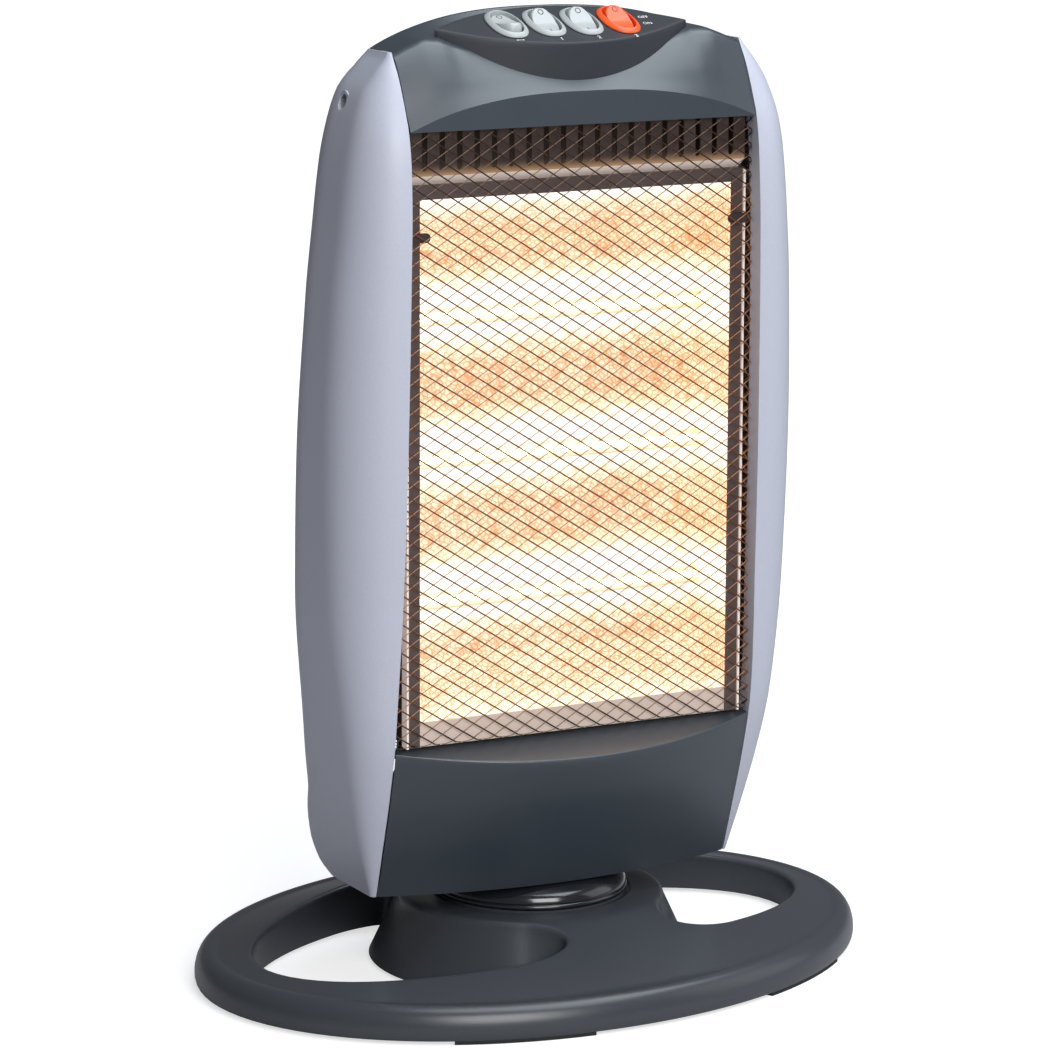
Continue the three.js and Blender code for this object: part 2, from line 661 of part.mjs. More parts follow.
// Each curve runs from the floor of the head (0) to its shoulder (1).
const narrowing = curveThrough([
  [0, 29], [0.08, 19.5], [0.21, 9], [0.365, 1.7], [0.54, 0], [0.714, 2.5], [0.8, 6],
  [0.867, 9], [0.91, 12.5], [0.954, 20], [0.972, 25.5], [0.985, 30], [0.993, 32.6], [1, 33.8],
]);
const seamSpread = curveThrough([
  [0, 1], [0.21, 1.2], [0.365, 0.8], [0.54, 0.5], [0.75, 0.2], [0.88, 0], [1, 0],
]);
const frontDepth = curveThrough([
  [0, -27], [0.08, -38.5], [0.124, -44.7], [0.21, -53.7], [0.365, -59.3], [0.54, -62.9], [0.714, -64.4],
  [0.79, -64.6], [0.867, -63.1], [0.911, -60], [0.932, -56.3], [0.954, -51.8], [0.976, -46.6],
  [0.987, -43], [1, -39],
]);
const backDepth = curveThrough([
  [0, 30], [0.014, 45], [0.047, 57], [0.08, 60], [0.124, 57], [0.21, 49], [0.365, 42],
  [0.54, 35], [0.714, 28.5], [0.867, 24], [0.932, 17], [0.972, 8], [1, -1],
]);

const halfWidth = (z) => HEAD_HALF_WIDTH - narrowing(share(z));
const seamX = (z) => SEAM_HALF_WIDTH + SEAM_SPREAD * seamSpread(share(z));
const seamY = (z) => frontDepth(share(z));

const REAR_TURN = rad(50); // how far the side panel goes round the rear corner

// Corner of the right side panel and the rear housing.
function rearCorner(z) {
  const w = halfWidth(z);
  const back = backDepth(share(z));
  const radius = Math.min(REAR_CORNER, 2.8 * (w - seamX(z)), 0.45 * (back - seamY(z)));
  return { w, back, radius };
}

function rearSeam(z) {
  const { w, back, radius } = rearCorner(z);
  const a = REAR_TURN;
  return vec(w - radius + radius * Math.cos(a), back - radius + radius * Math.sin(a), z);
}

const FRONT_STEPS = 6; // facets of the front corner
const FRONT_POINTS = FRONT_STEPS + 2; // those and the lip
const REAR_STEPS = 4;
const SEAM_FACE = REAR_TURN * (1 - 0.5 / REAR_STEPS); // direction that the panel's rear edge faces

// Outline of the right side panel at a height: lip, front corner, side, rear corner up to its seam.
function panelOutline(z) {
  const { w, back, radius } = rearCorner(z);
  const x = seamX(z);
  const y = seamY(z);
  const front = Math.min(w - x, 0.5 * (back - y));
  const points = [[x, y + LIP_DEPTH], [x, y]];
  for (let i = 1; i <= FRONT_STEPS; i += 1) {
    const a = rad((90 * i) / FRONT_STEPS);
    points.push([x + (w - x) * Math.sin(a), y + front * (1 - Math.cos(a))]);
  }
  for (let i = 0; i <= REAR_STEPS; i += 1) {
    const a = (REAR_TURN * i) / REAR_STEPS;
    points.push([w - radius + radius * Math.cos(a), back - radius + radius * Math.sin(a)]);
  }
  return points.map(([px, py]) => vec(px, py, z));
}

// Outline moved inwards by a wall, with mitred corners; the outline runs anticlockwise seen from above.
function insetOutline(points, wall) {
  return points.map((p, i) => {
    const before = points[Math.max(i - 1, 0)];
    const after = points[Math.min(i + 1, points.length - 1)];
    const normals = [[before, p], [p, after]].filter(([a, b]) => a !== b).map(([a, b]) => {
      const d = b.clone().sub(a).normalize();
      return vec(-d.y, d.x, 0);
    });
    const sum = normals.reduce((all, n) => all.add(n), vec(0, 0, 0));
    return p.clone().addScaledVector(sum, (wall * normals.length) / sum.lengthSq());
  });
}

// Heights of the section's rows: up from the floor of the head, then down from the shoulder.
const PANEL_LEVELS = [
  ...[0, 6.5, 16.5, 30.5, 54.5, 96.5, 156.5, 226.5].map((up) => HEAD_FLOOR + up),
  ...[161, 101, 61, 43, ROOF_FALL, 21, 13, 7, 3, 0].map((down) => SHOULDER - down),
];

const mirrored = (solid) => solid.mirror([1, 0, 0]);

function sidePanel() {
  const outer = PANEL_LEVELS.map(panelOutline);
  // where the panel is narrow, its wall thins so that lip and side don't meet
  const wallAt = (z) => Math.min(SHELL_WALL, 0.45 * (halfWidth(z) - seamX(z)));
  const inner = outer.map((row, i) => insetOutline(row, wallAt(PANEL_LEVELS[i])));
  const shell = sheetBetween(outer, inner);
  const face = halfWidth(SCREW_Z);
  const seat = face - SCREW_DEEP;
  const boss = bar(seat - SHELL_WALL, face - 1.2, SCREW_Y, SCREW_Z, SCREW_BOSS_RADIUS);
  const recess = bar(seat, face + CLEAR, SCREW_Y, SCREW_Z, SCREW_RECESS_RADIUS);
  const shank = bar(seat - 2 * SHELL_WALL, face + CLEAR, SCREW_Y, SCREW_Z, SCREW_RADIUS + SLIT);
  return cut(join(shell, boss), recess, shank);
}

const rightPanel = sidePanel();
piece(head, 'side_panel_right', rightPanel, lightGrey);
piece(head, 'side_panel_left', mirrored(rightPanel), lightGrey);

function sideScrew() {
  const seat = halfWidth(SCREW_Z) - SCREW_DEEP + GAP;
  const screwHead = bar(seat, seat + SCREW_HEAD_HEIGHT, SCREW_Y, SCREW_Z, SCREW_HEAD_RADIUS, 12);
  return join(screwHead, bar(CASE_HALF_WIDTH + GAP, seat + 1, SCREW_Y, SCREW_Z, SCREW_RADIUS, 10));
}

piece(head, 'side_screw_right', sideScrew(), brightSteel);
piece(head, 'side_screw_left', mirrored(sideScrew()), brightSteel);

// ---------------------------------------------------------------- rear housing

const SEAM_STEP = 0.25; // sideways step from the side panel's edge to the rear housing's
const COLUMNS = [-1, -0.95, -0.85, -0.65, -0.35, 0, 0.35, 0.65, 0.85, 0.95, 1];

function rearPoint(c, z) {
  const corner = rearSeam(z);
  const x = corner.x - SEAM_STEP;
  const y = corner.y + GAP;
  const start = SHOULDER - ROOF_FALL;
  const t = Math.max(0, (z - start) / (SHOULDER - start));
  const away = Math.abs(c);
  const turn = (Math.PI / 2) * t;
  const middleY = z < start
    ? backDepth(share(z)) + BACK_CROWN
    : lerp(CREST_Y, backDepth(share(start)) + BACK_CROWN, Math.cos(turn) ** 0.9);
  const middleZ = z < start ? z : lerp(start, CREST, Math.sin(turn));
  return vec(c * x, lerp(middleY, y, away ** 4), lerp(middleZ, z, away ** 2.5));
}

const INLET_Z = HEAD_FLOOR + INLET_RISE;
const rearMiddle = (z) => backDepth(share(z)) + BACK_CROWN;

// Hand recess: its hollow, or with a wall round it, the cup that holds the hollow.
function pocketBox(wall, reach) {
  const z = SHOULDER - POCKET_DROP;
  const half = POCKET_HALF + wall;
  const halfHeight = POCKET_HALF_HEIGHT + wall;
  const deep = rearMiddle(z) - POCKET_DEEP - wall;
  return box(-half, half, deep, rearMiddle(z) + reach, z - halfHeight, z + halfHeight);
}

function rearHousing() {
  const outer = PANEL_LEVELS.map((z) => COLUMNS.map((c) => rearPoint(-c, z)));
  const last = outer.length - 1;
  const inner = inset(outer, SHELL_WALL, (i, j, n) => {
    if (i === 0) n.z = 0;
    if (i === last) n.y = 0;
    const side = Math.sign(n.x);
    if (j === 0 || j === COLUMNS.length - 1) n.set(side * Math.cos(SEAM_FACE), Math.sin(SEAM_FACE), 0);
  });
  const shell = sheetBetween(outer, inner);
  // bosses that carry the inner case
  const bosses = [HEAD_FLOOR + CASE_BOSS_RISE, SHOULDER - CASE_BOSS_DROP].flatMap((z) => (
    [-CASE_BOSS_X, CASE_BOSS_X].map((x) => (
      rod(CASE_BACK_Y + GAP, rearMiddle(z) - SHELL_WALL / 2, x, z, CASE_BOSS_RADIUS, 12)))));
  // upright vent slots above the floor and below the hand recess
  const slot = (x, z) => box(x - REAR_SLOT_WIDTH / 2, x + REAR_SLOT_WIDTH / 2,
    rearMiddle(z) - REAR_SLOT_DEEP, rearMiddle(z) + CLEAR, z - REAR_SLOT_HEIGHT / 2, z + REAR_SLOT_HEIGHT / 2);
  const slots = [HEAD_FLOOR + REAR_SLOT_RISE, SHOULDER - REAR_SLOT_DROP].flatMap((z) => (
    [-5, -4, -3, -2, -1, 1, 2, 3, 4, 5].map((k) => slot(k * REAR_SLOT_PITCH, z))));
  const inlet = rod(CLEAR, HEAD_HALF_WIDTH, INLET_X, INLET_Z, INLET_RADIUS + GAP, 20);
  return cut(join(shell, ...bosses, pocketBox(POCKET_WALL, -POCKET_SINK)), pocketBox(0, CLEAR), ...slots, inlet);
}

piece(head, 'rear_housing', rearHousing(), darkGrey);

// Bush in the rear housing that the supply lead would leave through.
function cordInlet() {
  const wallY = rearPoint(-INLET_X / rearSeam(INLET_Z).x, INLET_Z).y;
  const flange = rod(wallY + GAP, wallY + SHELL_WALL, INLET_X, INLET_Z, INLET_RADIUS + INLET_FLANGE, 20);
  const neck = rod(wallY - 6, wallY + 1, INLET_X, INLET_Z, INLET_RADIUS, 20);
  return cut(join(flange, neck), rod(wallY - CLEAR, wallY + CLEAR, INLET_X, INLET_Z, INLET_BORE, 16));
}

piece(head, 'cord_inlet', cordInlet(), rubber);

// ---------------------------------------------------------------- upper fascia

const fasciaHalf = SEAM_HALF_WIDTH - GAP;

// Height lost from the crest towards the front: straight at the middle, a sharp shoulder at the sides.
const dropAtSide = curveThrough([
  [BAND_Y, 40], [-55.6, 31], [-51.2, 21], [-46.1, 11], [-43, 6], [-40, 2.4], [-36, 0.9], [-28, 0.3],
  [CREST_Y, 0],
]);
const dropAtMiddle = (y) => (FASCIA_FALL * (CREST_Y - y)) / (CREST_Y - BAND_Y);
const sideShare = curveThrough([
  [0, 0], [0.06, 0.012], [0.14, 0.058], [0.333, 0.22], [0.52, 0.42], [0.65, 0.63], [0.75, 0.88], [0.85, 1], [1, 1],
]);

function fasciaHeight(x, y) {
  const c = Math.min(1, Math.abs(x) / fasciaHalf);
  const crest = lerp(CREST, SHOULDER, c ** 2.5);
  return crest - lerp(dropAtMiddle(y), dropAtSide(y), sideShare(c));
}

// Lens outline of the control panel, of two arcs that meet at its ends.
function lens(halfX, halfY, steps = 16) {
  const radius = (halfX * halfX + halfY * halfY) / (2 * halfY);
  const sweep = Math.asin(halfX / radius);
  const arc = (side) => Array.from({ length: steps }, (_, i) => {
    const a = lerp(-sweep, sweep, i / steps);
    return [side * radius * Math.sin(a), side * (radius * Math.cos(a) - radius + halfY) + POD_Y];
  });
  return [...arc(-1).reverse(), ...arc(1).reverse()];
}

function topFascia() {
  const depths = [BAND_Y, -55.6, -51.2, -48.5, -46.1, -43, -40, -36, -28, -17, CREST_Y - GAP];
  const rightHalf = [0.15, 0.3, 0.45, 0.6, 0.72, 0.82, 0.92, 1];
  const columns = [...rightHalf.map((c) => -c).reverse(), 0, ...rightHalf];
  const top = depths.map((y) => columns.map((c) => (
    vec(c * fasciaHalf, y, Math.max(fasciaHeight(c * fasciaHalf, y), BAND_BOTTOM + 0.4)))));
  const bottom = top.map((row) => row.map((p) => vec(p.x, p.y, BAND_BOTTOM)));
  const whole = sheetBetween(top, bottom);
  const inside = whole.scale([1.02, 1, 1]).translate([0, SHELL_WALL, -SHELL_WALL]);
  const opening = prism(lens(POD_HALF_WIDTH + GAP, POD_HALF_DEPTH + GAP), BAND_BOTTOM - CLEAR, CREST + CLEAR);
  return cut(whole, inside, opening);
}

piece(head, 'top_fascia', topFascia(), satinGrey);

// ---------------------------------------------------------------- control panel

const tilted = (solid) => solid.rotate([POD_TILT, 0, 0]).translate([0, POD_Y, POD_Z]);
const slopeAt = (y) => (y - POD_Y) / Math.cos(rad(POD_TILT)); // along the face, from its middle line
const switchX = (k) => SWITCH_X0 + k * SWITCH_PITCH;
const SWITCH_V = slopeAt(SWITCH_Y);

// Outline of a bezel, its neck, its well or a rocker: an oval with slightly full corners.
function ovalOutline(halfX, halfV, steps = 16) {
  const full = (t) => Math.sign(t) * Math.abs(t) ** (2 / 2.3);
  return Array.from({ length: steps }, (_, i) => {
    const a = (2 * Math.PI * i) / steps;
    return [halfX * full(Math.cos(a)), halfV * full(Math.sin(a))];
  });
}

const ovalPrism = (halfX, halfV, z0, z1) => prism(ovalOutline(halfX, halfV), z0, z1);
const onPanel = (solid, k) => tilted(solid.translate([switchX(k), SWITCH_V, 0]));
const neckX = BEZEL_WIDTH / 2 - BEZEL_LAP - GAP;
const neckV = BEZEL_LENGTH / 2 - BEZEL_LAP - GAP;

function controlPanel() {
  const wide = HEAD_HALF_WIDTH;
  const above = tilted(box(-wide, wide, -wide, wide, 0, wide));
  const belowFace = tilted(box(-wide, wide, -wide, wide, -wide, -SHELL_WALL));
  const foot = POD_Z - POD_DEEP;
  const top = CREST + CLEAR;
  const body = cut(prism(lens(POD_HALF_WIDTH, POD_HALF_DEPTH), foot, top), above);
  const inside = prism(lens(POD_HALF_WIDTH - POD_END_WALL, POD_HALF_DEPTH - POD_SIDE_WALL), foot - CLEAR, top);
  const holes = [0, 1, 2, 3].map((k) => onPanel(ovalPrism(neckX + GAP, neckV + GAP, -CLEAR, CLEAR), k));
  return cut(body, inside.intersect(belowFace), ...holes);
}

piece(head, 'control_panel', controlPanel(), darkGrey);

// Oval bezel with a chamfer, and under it the body that the rocker sinks into.
function switchBody(k) {
  const bezel = stacked([[0, GAP], [0, GAP + BEZEL_EDGE], [BEZEL_CHAMFER, BEZEL_PROUD]].map(([back, z]) => (
    ovalOutline(BEZEL_WIDTH / 2 - back, BEZEL_LENGTH / 2 - back).map(([x, v]) => vec(x, v, z)))));
  const neck = ovalPrism(neckX, neckV, -SWITCH_DEEP, 1);
  const wellFloor = SWITCH_FLOOR - SWITCH_DEEP;
  const well = ovalPrism(ROCKER_WIDTH / 2 + ROCKER_PLAY, ROCKER_LENGTH / 2 + ROCKER_PLAY, wellFloor, CLEAR);
  const bearing = bar(-CLEAR, CLEAR, 0, -PIVOT_DEEP, TRUNNION + SLIT, 8);
  return onPanel(cut(join(bezel, neck), well, bearing), k);
}

// The rocker's ends are arcs about its pivot, so it turns inside the well; its top is a shallow V.
function rocker(k, tilt) {
  const half = ROCKER_LENGTH / 2;
  const foot = Math.sqrt(half * half - ROCKER_FOOT * ROCKER_FOOT);
  const rounded = [[half - 0.4, ROCKER_TOP / 2], [half - 2, ROCKER_TOP - 0.6], [half - 5, ROCKER_TOP]];
  const right = [[foot, -ROCKER_FOOT], [half, 0], ...rounded];
  const left = right.map(([v, z]) => [-v, z]).reverse();
  const body = prismX([...right, [0, ROCKER_TOP - ROCKER_DIP], ...left], -ROCKER_WIDTH, ROCKER_WIDTH);
  const plan = ovalPrism(ROCKER_WIDTH / 2, half + 0.1, -CLEAR, CLEAR);
  const trunnion = bar(-neckX + SLIT, neckX - SLIT, 0, 0, TRUNNION, 8);
  return onPanel(join(body.intersect(plan), trunnion).rotate([tilt, 0, 0]).translate([0, 0, -PIVOT_DEEP]), k);
}

for (let k = 0; k < 4; k += 1) {
  const colour = k === 3 ? switchOrange : switchGrey;
  piece(head, `switch_body_${k + 1}`, switchBody(k), colour);
  piece(head, `switch_rocker_${k + 1}`, rocker(k, k === 0 ? -ROCKER_TILT : ROCKER_TILT), colour);
}

// ---------------------------------------------------------------- lower fascia

function lowerFascia() {
  const columns = [-1, -0.93, -0.82, -0.68, -0.5, -0.3, -0.1, 0.1, 0.3, 0.5, 0.68, 0.82, 0.93, 1];
  const edgeZ = (c) => SHELF_Z - SHELF_EDGE - SHELF_DROP * (1 - c * c);
  const row = (t) => columns.map((c) => {
    const z = lerp(HEAD_FLOOR, edgeZ(c), t);
    const bow = lerp(SKIRT_BOW, SHELF_BOW, t) * (1 - c * c);
    return vec(c * (seamX(z) - GAP), Math.max(seamY(z), SHELF_SEAM_Y) - bow, z);
  });
  const shelf = (t) => columns.map((c, j) => {
    const edge = row(1)[j];
    return vec(edge.x, lerp(edge.y, SHELF_SEAM_Y + SHELF_DEPTH, t), lerp(edge.z, SHELF_Z, t));
  });
  const outer = [...[0, 0.2, 0.4, 0.6, 0.8, 0.97].map(row), ...[0.06, 0.5, 1].map(shelf)];
  const last = outer.length - 1;
  const inner = inset(outer, SHELL_WALL, (i, j, n) => {
    if (j === 0 || j === columns.length - 1) n.x = 0;
    if (i === 0) n.z = 0;
    if (i === last) n.set(0, 0, 1);
  });
  return sheetBetween(outer, inner);
}

piece(head, 'lower_fascia', lowerFascia(), darkGrey);

// ---------------------------------------------------------------- guard

// The guard is made flat, with x across, z up from its bottom edge and y forwards, and is then tilted back.
const GRILLE_BOTTOM = SHELF_Z + GRILLE_RISE;
const GRILLE_HEIGHT = BAND_BOTTOM - GAP - GRILLE_BOTTOM;
const grilleHalf = (z) => seamX(GRILLE_BOTTOM + z) - GRILLE_SIDE;

function grille() {
  const top = GRILLE_HEIGHT;
  const outline = (back, low, high) => {
    const lowHalf = grilleHalf(0) - back;
    const highHalf = grilleHalf(top) - back;
    return [[-lowHalf, low], [lowHalf, low], [highHalf, high], [-highHalf, high]];
  };
  const plate = (points, y0, y1) => {
    const shape = new THREE.Shape(points.map(([x, z]) => new THREE.Vector2(x, z)));
    const geometry = new THREE.ExtrudeGeometry(shape, { depth: y1 - y0, bevelEnabled: false });
    geometry.applyMatrix4(new THREE.Matrix4().makeBasis(vec(1, 0, 0), vec(0, 0, 1), vec(0, -1, 0)));
    geometry.translate(0, y1, 0);
    return solidOf(geometry);
  };
  const tray = cut(plate(outline(0, 0, top), -GRILLE_SHEET / 2, GRILLE_TRAY),
    plate(outline(SHEET, SHEET, top + SHEET), -GRILLE_SHEET, GRILLE_TRAY + SHEET));
  const rim = cut(plate(outline(0, 0, top), -GRILLE_SHEET / 2, GRILLE_SHEET / 2),
    plate(outline(GRILLE_RIM, GRILLE_RIM, top - GRILLE_RIM), -GRILLE_SHEET, GRILLE_SHEET));
  // two layers of slanted wires, one in front of the other, that end in the rim
  const slope = MESH_PITCH_Z / MESH_PITCH_X;
  const reach = SEAM_HALF_WIDTH + SEAM_SPREAD + 1.6;
  const wires = [];
  for (const lean of [-1, 1]) {
    const y = lean * WIRE * 0.55;
    for (let rise = -2 * reach * slope; rise < top + 2 * reach * slope; rise += MESH_PITCH_Z) {
      const heightAt = (x) => rise + lean * slope * x;
      const spans = [];
      const steps = 440;
      for (let i = 0; i <= steps; i += 1) {
        const x = lerp(-reach, reach, i / steps);
        const z = heightAt(x);
        const rim = GRILLE_RIM - 1; // a wire's end is sunk 1 mm into the rim
        if (z > rim && z < top - rim && Math.abs(x) < grilleHalf(z) - rim) spans.push(vec(x, y, z));
      }
      if (spans.length < 12) continue;
      const from = spans[0];
      const to = spans[spans.length - 1];
      const wire = new THREE.CylinderGeometry(WIRE / 2, WIRE / 2, from.distanceTo(to), 3);
      wire.rotateY(lean > 0 ? 0 : Math.PI);
      const along = to.clone().sub(from).normalize();
      wire.applyQuaternion(new THREE.Quaternion().setFromUnitVectors(vec(0, 1, 0), along));
      const middle = from.clone().lerp(to, 0.5);
      wire.translate(middle.x, middle.y, middle.z);
      wires.push(solidOf(wire));
    }
  }
  const whole = join(tray, rim, wasm.Manifold.union(wires));
  const leaned = whole.translate([0, 0, -top]).rotate([GRILLE_TILT, 0, 0]);
  return leaned.translate([0, GRILLE_TOP_Y, BAND_BOTTOM - GAP]);
}

piece(head, 'grille', grille(), wireSteel);

// ---------------------------------------------------------------- inner case, vent plate, reflector

// Sheet box open to the front, on legs that stand on the head's floor.
function innerCase() {
  const half = CASE_HALF_WIDTH;
  const sides = [[half - SHEET, half], [-half, SHEET - half]];
  const walls = sides.map(([x0, x1]) => box(x0, x1, CASE_FRONT_Y, CASE_BACK_Y, CASE_BOTTOM, CASE_TOP));
  const legs = sides.map(([x0, x1]) => (
    box(x0, x1, LEG_FRONT_Y, CASE_BACK_Y, FLOOR_TOP + GAP, CASE_BOTTOM + SHEET)));
  const back = box(-half, half, CASE_BACK_Y - SHEET, CASE_BACK_Y, CASE_BOTTOM, CASE_TOP);
  const floor = box(-half, half, CASE_FRONT_Y, CASE_BACK_Y, CASE_BOTTOM, CASE_BOTTOM + SHEET);
  return join(...walls, ...legs, back, floor);
}

piece(head, 'inner_case', innerCase(), brightSteel);

// Slotted face, a slope down to the reflector, and a flange back from either edge.
function ventPlate() {
  const half = CASE_HALF_WIDTH - SHEET - GAP;
  const bend = REFLECTOR_FRONT + REFLECTOR_FLANGE;
  const low = REFLECTOR_TOP + 1;
  const profile = [
    [VENT_Y, VENT_TOP], [VENT_Y, VENT_BOTTOM], [bend, low], [VENT_FLANGE_Y, low],
    [VENT_FLANGE_Y, low + SHEET], [bend + SHEET / 2, low + SHEET], [VENT_Y + SHEET, VENT_BOTTOM + SHEET / 2],
    [VENT_Y + SHEET, VENT_TOP - SHEET], [VENT_FLANGE_Y, VENT_TOP - SHEET], [VENT_FLANGE_Y, VENT_TOP],
  ];
  const slots = Array.from({ length: SLOT_COUNT }, (_, i) => {
    const x = (i - (SLOT_COUNT - 1) / 2) * SLOT_PITCH;
    return box(x - SLOT_WIDTH / 2, x + SLOT_WIDTH / 2, VENT_Y - SHEET, VENT_Y + 2 * SHEET,
      VENT_BOTTOM + SLOT_MARGIN, VENT_TOP - SLOT_MARGIN);
  });
  return cut(prismX(profile, -half, half), ...slots);
}

piece(head, 'vent_plate', ventPlate(), brownSteel);

// Reflector sheet: a flange at top and bottom, walls that slope back, and a shallow trough behind each tube.
const tubeHeights = [1, 0, -1].map((k) => TUBE_Z + k * TUBE_PITCH);

function reflectorProfile() {
  const top = TUBE_Z + 1.5 * TUBE_PITCH - TROUGH_EDGE;
  const bottom = TUBE_Z - 1.5 * TUBE_PITCH + TROUGH_EDGE;
  const ridge = REFLECTOR_DEEP - TROUGH_DEPTH - REFLECTOR_FLANGE;
  const high = REFLECTOR_TOP;
  const points = [[REFLECTOR_FRONT, high], [REFLECTOR_FRONT, high - REFLECTOR_FLANGE], [ridge, top]];
  const steps = 24;
  for (let i = 1; i < steps; i += 1) {
    const z = lerp(top, bottom, i / steps);
    const wave = Math.cos((2 * Math.PI * (z - TUBE_Z)) / TUBE_PITCH);
    points.push([REFLECTOR_DEEP - REFLECTOR_FLANGE + TROUGH_DEPTH * wave, z]);
  }
  const low = REFLECTOR_BOTTOM;
  points.push([ridge, bottom], [REFLECTOR_FRONT, low + REFLECTOR_FLANGE], [REFLECTOR_FRONT, low]);
  return points;
}

function reflector() {
  const front = reflectorProfile();
  const back = front.map(([y, z]) => [y + SHEET, z]);
  back[0][1] = front[0][1];
  return prismX([...front, ...back.reverse()], -REFLECTOR_HALF, REFLECTOR_HALF);
}

piece(head, 'reflector', reflector(), hammered);

function endPlate() {
  const x = REFLECTOR_HALF + GAP;
  const back = CASE_BACK_Y - SHEET - GAP;
  const web = box(x, x + SHEET, REFLECTOR_FRONT, back, REFLECTOR_BOTTOM, REFLECTOR_TOP);
  const flange = box(x, CASE_HALF_WIDTH - SHEET - GAP, REFLECTOR_FRONT, REFLECTOR_FRONT + SHEET,
    REFLECTOR_BOTTOM, REFLECTOR_TOP);
  const holes = tubeHeights.map((z) => bar(x - CLEAR, x + CLEAR, TUBE_Y, z, CAP_RADIUS + GAP));
  return cut(join(web, flange), ...holes);
}

piece(head, 'reflector_end_right', endPlate(), brownSteel);
piece(head, 'reflector_end_left', mirrored(endPlate()), brownSteel);

// ---------------------------------------------------------------- tubes

const CAP_OUT = CASE_HALF_WIDTH - SHEET - GAP;
const SOCKET_FLOOR = CAP_OUT - CAP_LENGTH + CAP_SOCKET;

tubeHeights.forEach((z, i) => {
  const glassEnd = SOCKET_FLOOR - GAP;
  const bore = bar(-glassEnd - 1, glassEnd + 1, TUBE_Y, z, TUBE_RADIUS - TUBE_WALL);
  const glass = cut(bar(-glassEnd, glassEnd, TUBE_Y, z, TUBE_RADIUS), bore);
  piece(head, `tube_glass_${i + 1}`, glass, quartz);
  piece(head, `tube_filament_${i + 1}`, bar(-glassEnd, glassEnd, TUBE_Y, z, FILAMENT_RADIUS, 6), glow);
  const cap = cut(bar(CAP_OUT - CAP_LENGTH, CAP_OUT, TUBE_Y, z, CAP_RADIUS),
    bar(CAP_OUT - CAP_LENGTH - 1, SOCKET_FLOOR, TUBE_Y, z, TUBE_RADIUS + GAP));
  piece(head, `tube_cap_${i + 1}_right`, cap, ceramic);
  piece(head, `tube_cap_${i + 1}_left`, mirrored(cap), ceramic);
});

// Clips with a round nose, set on the end plates' flanges, that keep the guard's mesh off the tubes.
function clip() {
  const seat = REFLECTOR_FRONT - GAP;
  const [low, high] = [CLIP_Z - CLIP_HALF_HEIGHT, CLIP_Z + CLIP_HALF_HEIGHT];
  const nose = rod(CLIP_Y, CLIP_Y + SHEET, CLIP_NOSE_X, CLIP_Z, CLIP_HALF_HEIGHT, 14);
  const tab = box(CLIP_NOSE_X, CASE_HALF_WIDTH - SHEET / 2, CLIP_Y, CLIP_Y + SHEET, low, high);
  const riser = box(CLIP_RISER_X, CLIP_RISER_X + SHEET, CLIP_Y, seat, low, high);
  const foot = box(CLIP_RISER_X, CAP_OUT, seat - SHEET, seat, low, high);
  return join(nose, tab, riser, foot);
}

piece(head, 'grille_clip_right', clip(), brightSteel);
piece(head, 'grille_clip_left', mirrored(clip()), brightSteel);

// ---------------------------------------------------------------- floor of the head and the swing drive

function floorPlate() {
  const z = HEAD_FLOOR;
  const wall = SHELL_WALL + GAP;
  const right = insetOutline(panelOutline(z), wall).slice(FRONT_POINTS).map((p) => [p.x, p.y]);
  const rear = [0.9, 0.65, 0.35, 0, -0.35, -0.65, -0.9].map((c) => {
    const p = rearPoint(c, z);
    return [p.x, p.y - wall - 0.8];
  });
  const front = [-1, -0.7, -0.35, 0, 0.35, 0.7, 1].map((c) => [
    c * (seamX(z) - wall - 0.7), seamY(z) - SKIRT_BOW * (1 - c * c) + wall + 0.6]);
  const left = right.map(([x, y]) => [-x, y]).reverse();
  const plate = prism([...front, ...right, ...rear, ...left], HEAD_FLOOR, FLOOR_TOP);
  return cut(plate, post(0, 0, HEAD_FLOOR - CLEAR, FLOOR_TOP + CLEAR, PIVOT_RADIUS + SLIT),
    post(0, MOTOR_OFFSET, HEAD_FLOOR - CLEAR, FLOOR_TOP + CLEAR, SHAFT_RADIUS + SLIT));
}

piece(head, 'floor_plate', floorPlate(), darkGrey);

function motorBracket() {
  const reach = MOTOR_RADIUS + BRACKET_FOOT;
  const low = FLOOR_TOP + GAP;
  const [front, back] = [MOTOR_OFFSET - BRACKET_HALF_WIDTH, MOTOR_OFFSET + BRACKET_HALF_WIDTH];
  const strap = (x0, x1, z0, z1) => box(x0, x1, front, back, z0, z1);
  const top = strap(-reach, reach, BRACKET_TOP - SHEET, BRACKET_TOP);
  const legs = [strap(reach - SHEET, reach, low, BRACKET_TOP), strap(-reach, SHEET - reach, low, BRACKET_TOP)];
  const feet = [
    strap(reach - SHEET, reach + BRACKET_FOOT, low, low + SHEET),
    strap(-reach - BRACKET_FOOT, SHEET - reach, low, low + SHEET),
  ];
  const hole = post(0, MOTOR_OFFSET, FLOOR_TOP, BRACKET_TOP + CLEAR, SHAFT_RADIUS + SLIT);
  return cut(join(top, ...legs, ...feet), hole);
}

piece(head, 'motor_bracket', motorBracket(), brightSteel);

function swingMotor() {
  const z0 = BRACKET_TOP + GAP;
  const can = post(0, MOTOR_OFFSET, z0, z0 + MOTOR_HEIGHT, MOTOR_RADIUS, MOTOR_RADIUS, 32);
  const reach = MOTOR_RADIUS + MOTOR_EAR;
  const [front, back] = [MOTOR_OFFSET - EAR_HALF_WIDTH, MOTOR_OFFSET + EAR_HALF_WIDTH];
  const ears = box(-reach, reach, front, back, z0, z0 + EAR_THICK);
  return join(can, ears);
}

piece(head, 'swing_motor', swingMotor(), brightSteel);

